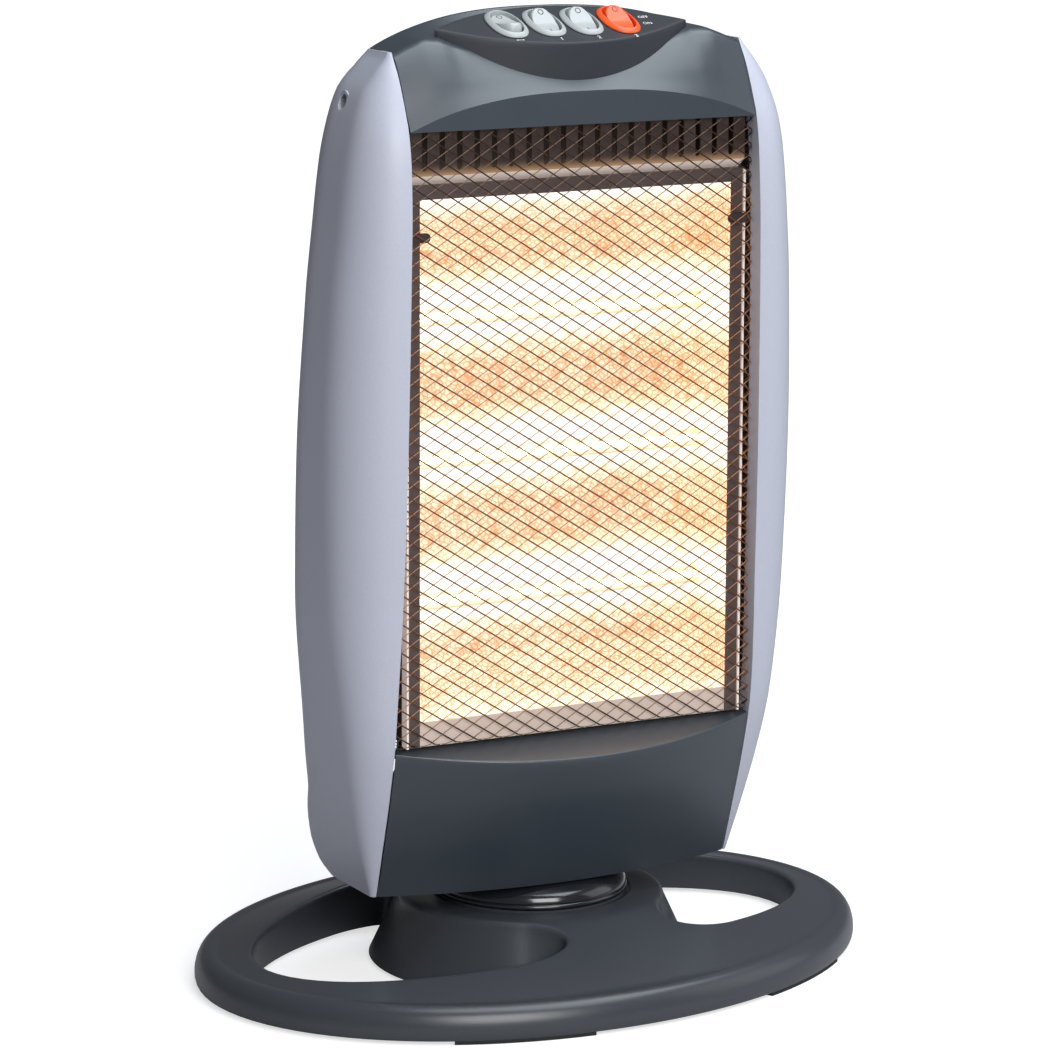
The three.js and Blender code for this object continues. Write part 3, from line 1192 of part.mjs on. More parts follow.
// Shaft, arm and drive pin in one. At rest the crank is turned by the head's own turn times the ratio,
// the other way, so the pin lies in the slot of the base.
function motorCrank() {
  const top = CRANK_Z + CRANK_THICK;
  const shaft = post(0, 0, CRANK_Z, BRACKET_TOP - SHEET, SHAFT_RADIUS);
  const hub = post(0, 0, CRANK_Z, top, SHAFT_RADIUS + CRANK_HUB);
  const arm = box(-CRANK_HALF_WIDTH, CRANK_HALF_WIDTH, 0, CRANK_RADIUS, CRANK_Z, top);
  const eye = post(0, CRANK_RADIUS, CRANK_Z, top, CRANK_EYE_RADIUS);
  const pin = post(0, CRANK_RADIUS, RECESS_Z - BASE_WALL, CRANK_Z + 1, PIN_RADIUS);
  const whole = join(shaft, hub, arm, eye, pin).rotate([0, 0, -SWING_AT_REST * CRANK_RATIO]);
  return whole.translate([0, MOTOR_OFFSET, 0]);
}

piece(head, 'motor_crank', motorCrank(), brightSteel);

// Tip-over switch: a weight that hangs between two cheeks.
function tipSwitchBody() {
  const z0 = FLOOR_TOP + GAP;
  const layer = (halfX, halfY, low, high) => (
    box(TIP_X - halfX, TIP_X + halfX, TIP_Y - halfY, TIP_Y + halfY, low, high));
  const block = layer(TIP_HALF_LENGTH, TIP_HALF_WIDTH, z0, TIP_PIVOT_Z + TIP_HEAD);
  const between = layer(CLEAR, TIP_HALF_WIDTH - TIP_CHEEK, z0 + TIP_FOOT, TIP_PIVOT_Z + CLEAR);
  return cut(block, between, rod(TIP_Y - CLEAR, TIP_Y + CLEAR, TIP_X, TIP_PIVOT_Z, TIP_PIN_RADIUS + SLIT, 12));
}

function tipPendulum() {
  const across = (half, z, radius, sides) => rod(TIP_Y - half, TIP_Y + half, TIP_X, z, radius, sides);
  const pin = across(TIP_HALF_WIDTH - SLIT, TIP_PIVOT_Z, TIP_PIN_RADIUS, 12);
  const stem = box(TIP_X - TIP_STEM_HALF, TIP_X + TIP_STEM_HALF, TIP_Y - TIP_STEM_HALF, TIP_Y + TIP_STEM_HALF,
    TIP_PIVOT_Z - TIP_STEM, TIP_PIVOT_Z);
  const weight = across(TIP_WEIGHT_HALF, TIP_PIVOT_Z - TIP_STEM - 2, TIP_WEIGHT_RADIUS, 16);
  return join(pin, stem, weight);
}

piece(head, 'tip_switch_body', tipSwitchBody(), whiteNylon);
piece(head, 'tip_switch_pendulum', tipPendulum(), brightSteel);

function terminalBlock() {
  const z0 = FLOOR_TOP + GAP;
  const top = z0 + TERMINAL_HEIGHT;
  const [right, back] = [TERMINAL_X + TERMINAL_LENGTH, TERMINAL_Y + TERMINAL_WIDTH];
  const block = box(TERMINAL_X, right, TERMINAL_Y, back, z0, top);
  const radius = TERMINAL_WELL_RADIUS;
  const wells = [-1.5, -0.5, 0.5, 1.5].map((k) => (TERMINAL_X + right) / 2 + k * TERMINAL_PITCH).map((x) => (
    post(x, (TERMINAL_Y + back) / 2, top - TERMINAL_WELL_DEEP, top + CLEAR, radius, radius, 10)));
  return cut(block, ...wells);
}

function thermalCutout() {
  const seat = CASE_BACK_Y + GAP;
  return rod(seat, seat + CUTOUT_HEIGHT, 0, TUBE_Z + TUBE_PITCH / 2, CUTOUT_RADIUS, 20);
}

piece(head, 'terminal_block', terminalBlock(), whiteNylon);
piece(head, 'thermal_cutout', thermalCutout(), ceramic);

export default heater;
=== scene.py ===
# %% [markdown]
# # Halogen heater
# A heating head with three glowing tubes behind a fine wire guard swings on an oval floor base.
# The measured solids come first as a fixed frame; every visible surface is then made again in fine detail.
# Lengths in the helpers below are millimetres, because that is how such parts are drawn.

# %% Frame
import math

import bmesh
import bpy
import numpy as np
from mathutils import Matrix, Vector


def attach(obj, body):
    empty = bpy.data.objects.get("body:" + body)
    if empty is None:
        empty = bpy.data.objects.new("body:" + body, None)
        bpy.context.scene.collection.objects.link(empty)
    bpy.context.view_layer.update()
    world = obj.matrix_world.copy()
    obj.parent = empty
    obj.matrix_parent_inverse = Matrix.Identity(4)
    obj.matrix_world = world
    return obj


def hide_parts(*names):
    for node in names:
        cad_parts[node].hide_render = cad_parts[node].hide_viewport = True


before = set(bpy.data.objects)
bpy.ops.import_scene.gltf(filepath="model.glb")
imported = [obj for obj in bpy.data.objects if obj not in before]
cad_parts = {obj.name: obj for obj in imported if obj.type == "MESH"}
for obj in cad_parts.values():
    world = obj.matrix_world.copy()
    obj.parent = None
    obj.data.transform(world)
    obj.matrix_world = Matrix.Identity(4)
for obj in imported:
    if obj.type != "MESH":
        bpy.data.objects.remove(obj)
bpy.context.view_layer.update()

MM = 0.001
print("nodes in the frame:", len(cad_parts))

# %% [markdown]
# ## Camera
# The photograph was taken from the front left, a little above the middle of the heater, with a long lens.
# Azimuth, elevation and distance place the camera; the shift moves the picture without turning the view.

# %% Camera
CAMERA_AZIMUTH = -36.34
CAMERA_ELEVATION = 10.81
CAMERA_ROLL = 0.27
CAMERA_DISTANCE = 2476.8
AIM_HEIGHT = 262.67
FOCAL_PIXELS = 4516.31
PICTURE = 1048
CENTRE_X, CENTRE_Y = 531.86, 492.16


def place_camera():
    """The camera looks at the axis from its azimuth and elevation, then rolls about its own line of sight."""
    az, el, roll = (math.radians(a) for a in (CAMERA_AZIMUTH, CAMERA_ELEVATION, CAMERA_ROLL))
    back = Vector((math.sin(az) * math.cos(el), -math.cos(az) * math.cos(el), math.sin(el)))
    right = Vector((math.cos(az), math.sin(az), 0))
    up = back.cross(right)
    rolled_right = right * math.cos(roll) + up * math.sin(roll)
    rolled_up = up * math.cos(roll) - right * math.sin(roll)
    data = bpy.data.cameras.new("camera")
    data.sensor_width = 36
    data.lens = FOCAL_PIXELS / PICTURE * 36
    data.shift_x = (PICTURE / 2 - CENTRE_X) / PICTURE
    data.shift_y = (CENTRE_Y - PICTURE / 2) / PICTURE
    data.clip_end = 20
    cam = bpy.data.objects.new("camera", data)
    place = Matrix((rolled_right, rolled_up, back)).transposed().to_4x4()
    place.translation = Vector((0, 0, AIM_HEIGHT * MM)) + back * CAMERA_DISTANCE * MM
    cam.matrix_world = place
    bpy.context.scene.collection.objects.link(cam)
    bpy.context.scene.camera = cam
    return cam


camera = place_camera()
print("lens", round(camera.data.lens, 1), "mm")

# %% [markdown]
# ## Curves and grids
# A moulded shell is a grid of points: one direction runs round the section, the other up the piece.
# The sizes of the section change smoothly with height, so they are curves through a few known pairs.

# %% Numbers that the whole heater shares
HEAD_TURN = math.radians(-8.5)
HEAD_FLOOR = 53.5
SHOULDER = 511.0
CREST = 529.6
CREST_Y = -5.0
HALF_WIDTH = 140.0
SEAM_HALF = 104.4
SEAM_SPREAD = 4.0
WALL = 2.5
GAP = 0.3
LIP = 11.0
BACK_CROWN = 5.0
REAR_CORNER = 40.0
REAR_TURN = math.radians(50)
BAND_Y = -60.0
BAND_BOTTOM = 470.8


def curve_through(pairs):
    """A smooth curve through the pairs: cubic pieces whose slopes are the harmonic mean of their neighbours,
    so that it never overshoots."""
    xs, ys = (np.array(v, float) for v in zip(*pairs))
    slope = np.diff(ys) / np.diff(xs)
    before, after = slope[:-1], slope[1:]
    same = before * after > 0
    total = np.where(same, before + after, 1)
    middle = np.where(same, 2 * before * after / total, 0)
    tangent = np.concatenate([slope[:1], middle, slope[-1:]])

    def value(x):
        x = np.clip(np.asarray(x, float), xs[0], xs[-1])
        i = np.clip(np.searchsorted(xs, x, side="right") - 1, 0, len(xs) - 2)
        w = xs[i + 1] - xs[i]
        t = (x - xs[i]) / w
        t2, t3 = t * t, t * t * t
        ends = (2 * t3 - 3 * t2 + 1) * ys[i] + (3 * t2 - 2 * t3) * ys[i + 1]
        return ends + w * ((t3 - 2 * t2 + t) * tangent[i] + (t3 - t2) * tangent[i + 1])

    return value


def lerp(a, b, t):
    return a + (b - a) * t


def xyz(x, y, z):
    """One array of points from three arrays that broadcast together."""
    return np.stack(np.broadcast_arrays(x, y, z), axis=-1).astype(float)


narrowing = curve_through([(0, 29), (.08, 19.5), (.21, 9), (.365, 1.7), (.54, 0), (.714, 2.5), (.8, 6),
                           (.867, 9),
                           (.91, 12.5), (.954, 19), (.972, 24.5), (.985, 29), (.993, 32), (1, 33.8)])
seam_spread = curve_through([(0, 1), (.21, 1.2), (.365, .8), (.54, .5), (.75, .2), (.88, 0), (1, 0)])
front_depth = curve_through([(0, -27), (.08, -38.5), (.124, -44.7), (.21, -53.7), (.365, -59.3),
                             (.54, -62.9),
                             (.714, -64.4), (.79, -64.6), (.867, -63.1), (.911, -60), (.932, -56.3),
                             (.954, -51.8),
                             (.976, -46.6), (.987, -43), (1, -39)])
back_depth = curve_through([(0, 30), (.014, 45), (.047, 57), (.08, 60), (.124, 57), (.21, 49), (.365, 42),
                            (.54, 35),
                            (.714, 28.5), (.867, 25.5), (.932, 20), (.972, 11.5), (1, -11)])


def share(z):
    return (np.asarray(z, float) - HEAD_FLOOR) / (SHOULDER - HEAD_FLOOR)


def half_width(z):
    return HALF_WIDTH - narrowing(share(z))


def seam_x(z):
    return SEAM_HALF + SEAM_SPREAD * seam_spread(share(z))


def seam_y(z):
    return front_depth(share(z))


# %% [markdown]
# ## From arrays to meshes
# A grid becomes a mesh of quads. Two grids, an outer and an inner face, make a closed shell with a real wall.

# %% Mesh helpers
def grid_faces(rows, cols, start=0, wrap=False):
    """Quads of a grid whose points are numbered row by row; wrap joins the last column to the first."""
    i, j = np.meshgrid(np.arange(rows - 1), np.arange(cols if wrap else cols - 1), indexing="ij")
    k = (j + 1) % cols
    quads = np.stack([i * cols + j, i * cols + k, (i + 1) * cols + k, (i + 1) * cols + j], axis=-1)
    return quads.reshape(-1, 4) + start


def grid_normals(grid):
    """Unit normals of a grid, from the cross product of its two directions."""
    du = np.gradient(grid, axis=1)
    dv = np.gradient(grid, axis=0)
    n = np.cross(du, dv)
    return n / np.maximum(np.linalg.norm(n, axis=-1, keepdims=True), 1e-9)


def shell(outer, inner):
    """Points and quads of the closed wall between two grids of the same size."""
    rows, cols = outer.shape[:2]
    count = rows * cols
    points = np.concatenate([outer.reshape(-1, 3), inner.reshape(-1, 3)])
    front = grid_faces(rows, cols)
    back = grid_faces(rows, cols, count)[:, ::-1]
    ids = np.arange(count).reshape(rows, cols)
    edges = [(ids[0, 1:], ids[0, :-1]), (ids[-1, :-1], ids[-1, 1:]), (ids[:-1, 0], ids[1:, 0]),
             (ids[1:, -1], ids[:-1, -1])]
    rims = [np.stack([a, b, b + count, a + count], axis=-1) for a, b in edges]
    return points, np.concatenate([front, back, *rims])


def turned(x, y, z=0.0):
    c, s = math.cos(HEAD_TURN), math.sin(HEAD_TURN)
    return xyz(x * c - y * s, x * s + y * c, z)


def to_row(points):
    """Points of the head turned with it about the swing axis."""
    return turned(points[..., 0], points[..., 1], points[..., 2])


def new_object(name, points, faces, on_head=True):
    """A smooth-shaded object at the origin; points are millimetres in the head's own frame or the base's."""
    points = np.asarray(points, float).reshape(-1, 3)
    if on_head:
        points = to_row(points)
    mesh = bpy.data.meshes.new(name)
    mesh.from_pydata((points * MM).tolist(), [], [tuple(int(k) for k in f) for f in faces])
    obj = bpy.data.objects.new(name, mesh)
    bpy.context.scene.collection.objects.link(obj)
    return obj


def shade(obj, angle):
    """Smooth shading, with edges sharper than the angle left sharp."""
    obj.data.shade_smooth()
    obj.data.set_sharp_from_angle(angle=math.radians(angle))


def tidy(obj, angle=35, merge=1e-6, recalc=True):
    """Joins doubled points, turns faces outwards and marks edges sharper than the angle."""
    bm = bmesh.new()
    bm.from_mesh(obj.data)
    bmesh.ops.remove_doubles(bm, verts=bm.verts, dist=merge)
    bmesh.ops.dissolve_degenerate(bm, edges=bm.edges, dist=1e-7)
    if recalc:
        bmesh.ops.recalc_face_normals(bm, faces=bm.faces)
    bm.to_mesh(obj.data)
    bm.free()
    shade(obj, angle)
    return obj


def bake_modifiers(obj):
    """Replaces the mesh by what its modifiers make of it."""
    graph = bpy.context.evaluated_depsgraph_get()
    mesh = bpy.data.meshes.new_from_object(obj.evaluated_get(graph))
    obj.modifiers.clear()
    obj.data = mesh
    return obj


def cut_with(obj, cutter):
    """Takes the cutter's volume out of the object and removes the cutter."""
    boolean = obj.modifiers.new("cut", "BOOLEAN")
    boolean.operation = "DIFFERENCE"
    boolean.solver = "EXACT"
    boolean.object = cutter
    bake_modifiers(obj)
    bpy.data.objects.remove(cutter)
    return obj


def thicken(obj, wall, even=True):
    """A wall of even thickness on the inside of an open surface."""
    solid = obj.modifiers.new("wall", "SOLIDIFY")
    solid.thickness = wall * MM
    solid.offset = -1
    solid.use_even_offset = even
    return bake_modifiers(obj)


def soften(obj, width=0.4, segments=2, angle=40):
    """Small rounded edges, which catch the light as moulded edges do."""
    bevel = obj.modifiers.new("edges", "BEVEL")
    bevel.width = width * MM
    bevel.segments = segments
    bevel.limit_method = "ANGLE"
    bevel.angle_limit = math.radians(angle)
    bevel.use_clamp_overlap = True
    bevel.harden_normals = False
    return obj


def oval_outline(half_x, half_y, steps=64, full=2.3):
    """Points round an oval |x/a|^n + |y/b|^n = 1, a little fuller than an ellipse."""
    a = np.arange(steps) * 2 * np.pi / steps
    c, s = np.cos(a), np.sin(a)
    return half_x * np.sign(c) * np.abs(c) ** (2 / full), half_y * np.sign(s) * np.abs(s) ** (2 / full)


def rings_mesh(rings, close_first=True, close_last=True):
    """Points and faces of rings stacked one on the next, closed at either end by a fan."""
    rings = np.asarray(rings, float)
    rows, cols = rings.shape[:2]
    points = rings.reshape(-1, 3)
    faces = grid_faces(rows, cols, wrap=True).tolist()
    extra = []
    j = np.arange(cols)
    k = (j + 1) % cols
    if close_first:
        extra.append(rings[0].mean(0))
        c = rows * cols + len(extra) - 1
        faces += [(int(b), int(a), c) for a, b in zip(j, k)]
    if close_last:
        extra.append(rings[-1].mean(0))
        c = rows * cols + len(extra) - 1
        base = (rows - 1) * cols
        faces += [(base + int(a), base + int(b), c) for a, b in zip(j, k)]
    if extra:
        points = np.concatenate([points, np.array(extra)])
    return points, faces


def box_mesh(x0, x1, y0, y1, z0, z1):
    """Eight corners and six faces."""
    x, y, z = np.meshgrid([x0, x1], [y0, y1], [z0, z1], indexing="ij")
    points = np.stack([x, y, z], axis=-1).reshape(-1, 3)
    faces = [(0, 1, 3, 2), (4, 6, 7, 5), (0, 4, 5, 1), (2, 3, 7, 6), (0, 2, 6, 4), (1, 5, 7, 3)]
    return points, faces


def merge_meshes(parts):
    """One list of points and faces from several."""
    points, faces, start = [], [], 0
    for p, f in parts:
        p = np.asarray(p, float).reshape(-1, 3)
        points.append(p)
        faces += [tuple(int(k) + start for k in face) for face in f]
        start += len(p)
    return np.concatenate(points), faces


def cylinder_mesh(a, b, radius, sides=24):
    """A closed cylinder from point a to point b."""
    a, b = np.array(a, float), np.array(b, float)
    d = (b - a) / np.linalg.norm(b - a)
    side = np.cross(d, [0, 0, 1.0] if abs(d[2]) < .9 else [1.0, 0, 0])
    side /= np.linalg.norm(side)
    up = np.cross(d, side)
    t = np.arange(sides) * 2 * np.pi / sides
    ring = radius * (np.cos(t)[:, None] * side + np.sin(t)[:, None] * up)
    return rings_mesh([a + ring, b + ring])


# %% [markdown]
# ## Materials
# Moulded plastic has a fine spark-eroded grain and slight flow marks. Both come from one shader group
# that gives a height for the bump and a roughness that wanders a little.

# %% Shared shader groups
def group(name, inputs, outputs):
    """An empty shader group with float or colour sockets."""
    g = bpy.data.node_groups.new(name, "ShaderNodeTree")
    for socket, kind, value in inputs:
        s = g.interface.new_socket(socket, in_out="INPUT", socket_type=kind)
        if value is not None:
            s.default_value = value
    for socket, kind in outputs:
        g.interface.new_socket(socket, in_out="OUTPUT", socket_type=kind)
    return g, g.nodes.new("NodeGroupInput"), g.nodes.new("NodeGroupOutput")


FLOAT, COLOR, VECTOR = "NodeSocketFloat", "NodeSocketColor", "NodeSocketVector"


def put(tree, value, socket):
    """A plain number or colour is set on the socket itself; another node's output is linked to it."""
    if isinstance(value, (int, float)):
        socket.default_value = value
    elif isinstance(value, tuple):
        socket.default_value = (*value[:3], 1)
    else:
        tree.links.new(value, socket)


def feed(tree, node, values):
    """Fills a node's sockets by name."""
    for name, value in values.items():
        put(tree, value, node.inputs[name])


def noise(tree, vector, scale, detail=2.0, rough=0.5):
    n = tree.nodes.new("ShaderNodeTexNoise")
    feed(tree, n, {"Vector": vector, "Scale": scale, "Detail": detail, "Roughness": rough})
    return n.outputs["Fac"]


def math_node(tree, operation, a, b=None, clamp=False):
    m = tree.nodes.new("ShaderNodeMath")
    m.operation = operation
    m.use_clamp = clamp
    put(tree, a, m.inputs[0])
    if b is not None:
        put(tree, b, m.inputs[1])
    return m.outputs[0]


def plus(tree, a, b, clamp=False):
    return math_node(tree, "ADD", a, b, clamp)


def minus(tree, a, b, clamp=False):
    return math_node(tree, "SUBTRACT", a, b, clamp)


def times(tree, a, b):
    return math_node(tree, "MULTIPLY", a, b)


def remap(tree, value, a, b, c, d):
    """The range a to b of a value becomes c to d, and is held at its ends."""
    m = tree.nodes.new("ShaderNodeMapRange")
    feed(tree, m, {"Value": value, "From Min": a, "From Max": b, "To Min": c, "To Max": d})
    return m.outputs["Result"]


def mix_colour(tree, factor, a, b):
    m = tree.nodes.new("ShaderNodeMix")
    m.data_type = "RGBA"
    for socket, value in zip((m.inputs[0], m.inputs[6], m.inputs[7]), (factor, a, b)):
        put(tree, value, socket)
    return m.outputs[2]


def moulded_group():
    """Grain of an eroded mould and slow flow marks: Height for a bump, and Roughness and Colour around
    given values."""
    g, gin, gout = group("moulded_skin",
                         [("Coordinate", VECTOR, None), ("Colour", COLOR, (.5, .5, .5, 1)),
                          ("Roughness", FLOAT, .45), ("Wander", FLOAT, .06), ("Grain", FLOAT, 1.0)],
                         [("Colour", COLOR), ("Roughness", FLOAT), ("Height", FLOAT)])
    given = gin.outputs
    at = given["Coordinate"]
    fine = noise(g, at, 2600, 1.0)
    coarse = noise(g, at, 900, 2.0)
    slow = noise(g, at, 9, 3.0, .6)
    wander = times(g, minus(g, slow, .5), given["Wander"])
    speck = times(g, minus(g, coarse, .5), .12)
    tint = g.nodes.new("ShaderNodeVectorMath")
    tint.operation = "SCALE"
    g.links.new(given["Colour"], tint.inputs[0])
    g.links.new(plus(g, plus(g, 1.0, wander), speck), tint.inputs["Scale"])
    feed(g, gout, {"Colour": tint.outputs[0],
                   "Roughness": plus(g, given["Roughness"], times(g, wander, 3.0), clamp=True),
                   "Height": times(g, plus(g, times(g, fine, .6), coarse), given["Grain"])})
    return g


def metal_group():
    """Rolled sheet: streaks along one direction, a cloudy tarnish and a mask of heat tint."""
    g, gin, gout = group("sheet_skin",
                         [("Coordinate", VECTOR, None), ("Colour", COLOR, (.5, .5, .5, 1)),
                          ("Tarnish", COLOR, (.2, .15, .1, 1)), ("Amount", FLOAT, .3),
                          ("Roughness", FLOAT, .35)],
                         [("Colour", COLOR), ("Roughness", FLOAT), ("Height", FLOAT)])
    given = gin.outputs
    stretch = g.nodes.new("ShaderNodeVectorMath")
    stretch.operation = "MULTIPLY"
    stretch.inputs[1].default_value = (.04, .04, 1)
    g.links.new(given["Coordinate"], stretch.inputs[0])
    streak = noise(g, stretch.outputs[0], 900, 2.0)
    cloud = noise(g, given["Coordinate"], 24, 4.0, .6)
    mask = times(g, remap(g, cloud, .42, .68, 0.0, 1.0), given["Amount"])
    rough = plus(g, given["Roughness"], times(g, plus(g, mask, streak), .18))
    feed(g, gout, {"Colour": mix_colour(g, mask, given["Colour"], given["Tarnish"]),
                   "Roughness": minus(g, rough, .06, clamp=True), "Height": streak})
    return g


MOULDED = moulded_group()
SHEET_METAL = metal_group()
print("shader groups:", MOULDED.name, SHEET_METAL.name)


# %% Finishes
def material(name):
    """A new material with its Principled shader, its object coordinates and its tree."""
    m = bpy.data.materials.new(name)
    m.use_nodes = True
    tree = m.node_tree
    shader = next(n for n in tree.nodes if n.type == "BSDF_PRINCIPLED")
    at = tree.nodes.new("ShaderNodeTexCoord").outputs["Object"]
    return m, tree, shader, at


def bump(tree, shader, height, distance):
    b = tree.nodes.new("ShaderNodeBump")
    feed(tree, b, {"Height": height, "Distance": distance * MM, "Strength": 1.0})
    tree.links.new(b.outputs["Normal"], shader.inputs["Normal"])


def axis(tree, at, name):
    """One coordinate of a place."""
    split = tree.nodes.new("ShaderNodeSeparateXYZ")
    tree.links.new(at, split.inputs[0])
    return split.outputs[name]


# Heights over which the inner case turns from brown-grey to painted shade, near black.
CASE_PAINTED_SHADE = .436, .447
# Heights of the band where the guard's wires get a painted glow from the tubes behind them.
GLOW_LOW, GLOW_HIGH, GLOW_EDGE = .146, .436, .012
# Heights over which the vent plate's painted glow fades out above its foot.
VENT_GLOW_FOOT = .4535, .447


def case_material():
    """Sheet of the inner case: brown-grey beside the reflector, near black with painted shade above it."""
    m, tree, shader, at = material("case_sheet")
    cloud = noise(tree, at, 30, 4.0, .6)
    painted_shade_above = remap(tree, axis(tree, at, "Z"), *CASE_PAINTED_SHADE, 0.0, 1.0)
    warm = mix_colour(tree, cloud, (.085, .060, .054), (.13, .095, .085))
    feed(tree, shader, {"Base Color": mix_colour(tree, painted_shade_above, warm, (.010, .008, .007)),
                        "Roughness": remap(tree, cloud, .3, .7, .42, .6), "Metallic": .3})
    bump(tree, shader, cloud, .02)
    return m


def wire_material(name, colour, warm):
    """Lacquered wire with painted light: an emission glow in the given warm colour over the band of heights
    where the tubes stand behind it.
    """
    m, tree, shader, at = material(name)
    cloud = noise(tree, at, 400, 2.0)
    height = axis(tree, at, "Z")
    lit = times(tree, remap(tree, height, GLOW_LOW, GLOW_LOW + GLOW_EDGE, 0.0, 1.0),
                remap(tree, height, GLOW_HIGH, GLOW_HIGH - GLOW_EDGE, 0.0, 1.0))
    darker = tuple(c * .6 for c in colour)
    feed(tree, shader, {"Base Color": mix_colour(tree, cloud, darker, colour),
                        "Emission Color": mix_colour(tree, lit, (.002, .001, .001), warm),
                        "Emission Strength": 1.0, "Metallic": .4,
                        "Roughness": remap(tree, cloud, .3, .7, .3, .45)})
    bump(tree, shader, cloud, .02)
    return m


def vent_material():
    """Dark brown sheet with painted light: an emission glow at its foot, where the tubes below it light it.
    """
    m, tree, shader, at = material("vent_sheet")
    cloud = noise(tree, at, 60, 4.0, .6)
    foot = remap(tree, axis(tree, at, "Z"), *VENT_GLOW_FOOT, 0.0, 1.0)
    lit = times(tree, foot, foot)
    feed(tree, shader, {"Base Color": mix_colour(tree, cloud, (.030, .020, .018), (.062, .042, .038)),
                        "Emission Color": mix_colour(tree, lit, (.012, .006, .003), (.62, .36, .17)),
                        "Emission Strength": .6, "Metallic": .4,
                        "Roughness": remap(tree, cloud, .3, .7, .32, .5)})
    bump(tree, shader, cloud, .03)
    return m


def skinned(name, skin_group, values):
    """A material whose colour and roughness come from a shared shader group."""
    m, tree, shader, at = material(name)
    skin = tree.nodes.new("ShaderNodeGroup")
    skin.node_tree = skin_group
    feed(tree, skin, {"Coordinate": at, **values})
    feed(tree, shader, {"Base Color": skin.outputs["Colour"], "Roughness": skin.outputs["Roughness"]})
    return m, tree, shader, skin.outputs["Height"]


def plastic(name, colour, roughness, wander=.06, grain=.02, coat=0.0, specular=.5):
    """Moulded plastic: one colour with a fine grain, and a clear skin where it is glossy."""
    m, tree, shader, height = skinned(name, MOULDED,
                                      {"Colour": colour, "Roughness": roughness, "Wander": wander})
    bump(tree, shader, height, grain)
    feed(tree, shader, {"Coat Weight": coat, "Coat Roughness": .12, "Specular IOR Level": specular})
    return m


def sheet(name, colour, tarnish, amount, roughness, metallic=1.0):
    """Bare or painted sheet metal with rolling streaks and tarnish."""
    values = {"Colour": colour, "Tarnish": tarnish, "Amount": amount, "Roughness": roughness}
    m, tree, shader, height = skinned(name, SHEET_METAL, values)
    shader.inputs["Metallic"].default_value = metallic
    bump(tree, shader, height, .01)
    return m


base_plastic = plastic("base_dark_grey", (.042, .047, .056), .31, grain=.03)
fascia_plastic = plastic("fascia_satin_grey", (.028, .037, .049), .37, grain=.015, specular=.75)
pod_plastic = plastic("panel_dark_grey", (.030, .033, .040), .42, grain=.02, specular=.22)
side_plastic = plastic("side_light_grey", (.45, .465, .55), .42, wander=.03, grain=.012)
rear_plastic = plastic("rear_dark_grey", (.040, .046, .056), .48, grain=.03)
table_plastic = plastic("turntable_black", (.012, .014, .018), .18, grain=.004, coat=.5)
switch_plastic = plastic("switch_grey", (.40, .42, .42), .34, wander=.02, grain=.008)
orange_plastic = plastic("switch_orange", (.83, .10, .018), .34, wander=.02, grain=.008)
mark_plastic = plastic("mark_pale", (.80, .81, .82), .5, grain=.004)
nylon = plastic("white_nylon", (.66, .65, .60), .5, grain=.01)
foot_rubber = plastic("foot_rubber", (.012, .012, .013), .8, grain=.05)
ceramic = plastic("white_ceramic", (.72, .69, .63), .6, grain=.02)
zinc = sheet("zinc_sheet", (.62, .62, .63), (.38, .37, .36), .5, .32)
steel = sheet("plated_steel", (.55, .54, .52), (.3, .27, .24), .4, .25)
brown_sheet = sheet("heat_tinted_sheet", (.060, .040, .036), (.030, .018, .016), .7, .38, metallic=.55)
flange_sheet = sheet("flange_sheet", (.115, .082, .074), (.06, .04, .035), .6, .38, metallic=.5)
# Both strand families are one lacquered wire: the falling strands get a painted shade colour, the rising ones
# a paler painted lit colour.
painted_shade_wire = wire_material("guard_wire_painted_shade", (.034, .015, .010), (.085, .030, .010))
painted_lit_wire = wire_material("guard_wire_painted_lit", (.20, .12, .08), (.22, .09, .035))


# %% [markdown]
# ## Hammered, glowing reflector
# The sheet behind the tubes is embossed with small pebbles, and carries painted light from the tubes in front
# of it, as emission: white right behind a tube, orange between them. The painted glow is written as a
# function of the height.

# %% Glowing finishes
TUBE_Z = 291.0
TUBE_PITCH = 77.0
FADE_FROM, FADE_TO = .050, .098
PEBBLE_LEAN = math.radians(38)
GLOW_STEPS = ((.18, (.78, .42, .22)), (.36, (.88, .58, .38)), (.54, (.98, .78, .56)),
              (.70, (1.0, .91, .74)))


def glow_level(tree, at):
    """High right behind a tube, lower between two tubes, with a weak streak half-way, fading to the right."""
    phase = times(tree, minus(tree, axis(tree, at, "Z"), TUBE_Z * MM), 2 * math.pi / (TUBE_PITCH * MM))
    wave = plus(tree, times(tree, math_node(tree, "COSINE", phase), .66), .56, clamp=True)
    between = math_node(tree, "COSINE", times(tree, phase, 2.0))
    wave = plus(tree, wave, times(tree, between, .13), clamp=True)
    return times(tree, wave, remap(tree, axis(tree, at, "X"), FADE_FROM, FADE_TO, 1.0, .72))


def pebbles(tree, at):
    """Distance to the edge of each embossed pebble; the pebbles are long and lean to one side."""
    lean = tree.nodes.new("ShaderNodeMapping")
    lean.vector_type = "TEXTURE"
    lean.inputs["Rotation"].default_value = (0, PEBBLE_LEAN, 0)
    lean.inputs["Scale"].default_value = (1.25, 1, .85)
    tree.links.new(at, lean.inputs["Vector"])
    pebble = tree.nodes.new("ShaderNodeTexVoronoi")
    pebble.feature = "DISTANCE_TO_EDGE"
    feed(tree, pebble, {"Vector": lean.outputs[0], "Scale": 350, "Randomness": .7})
    return pebble.outputs["Distance"]


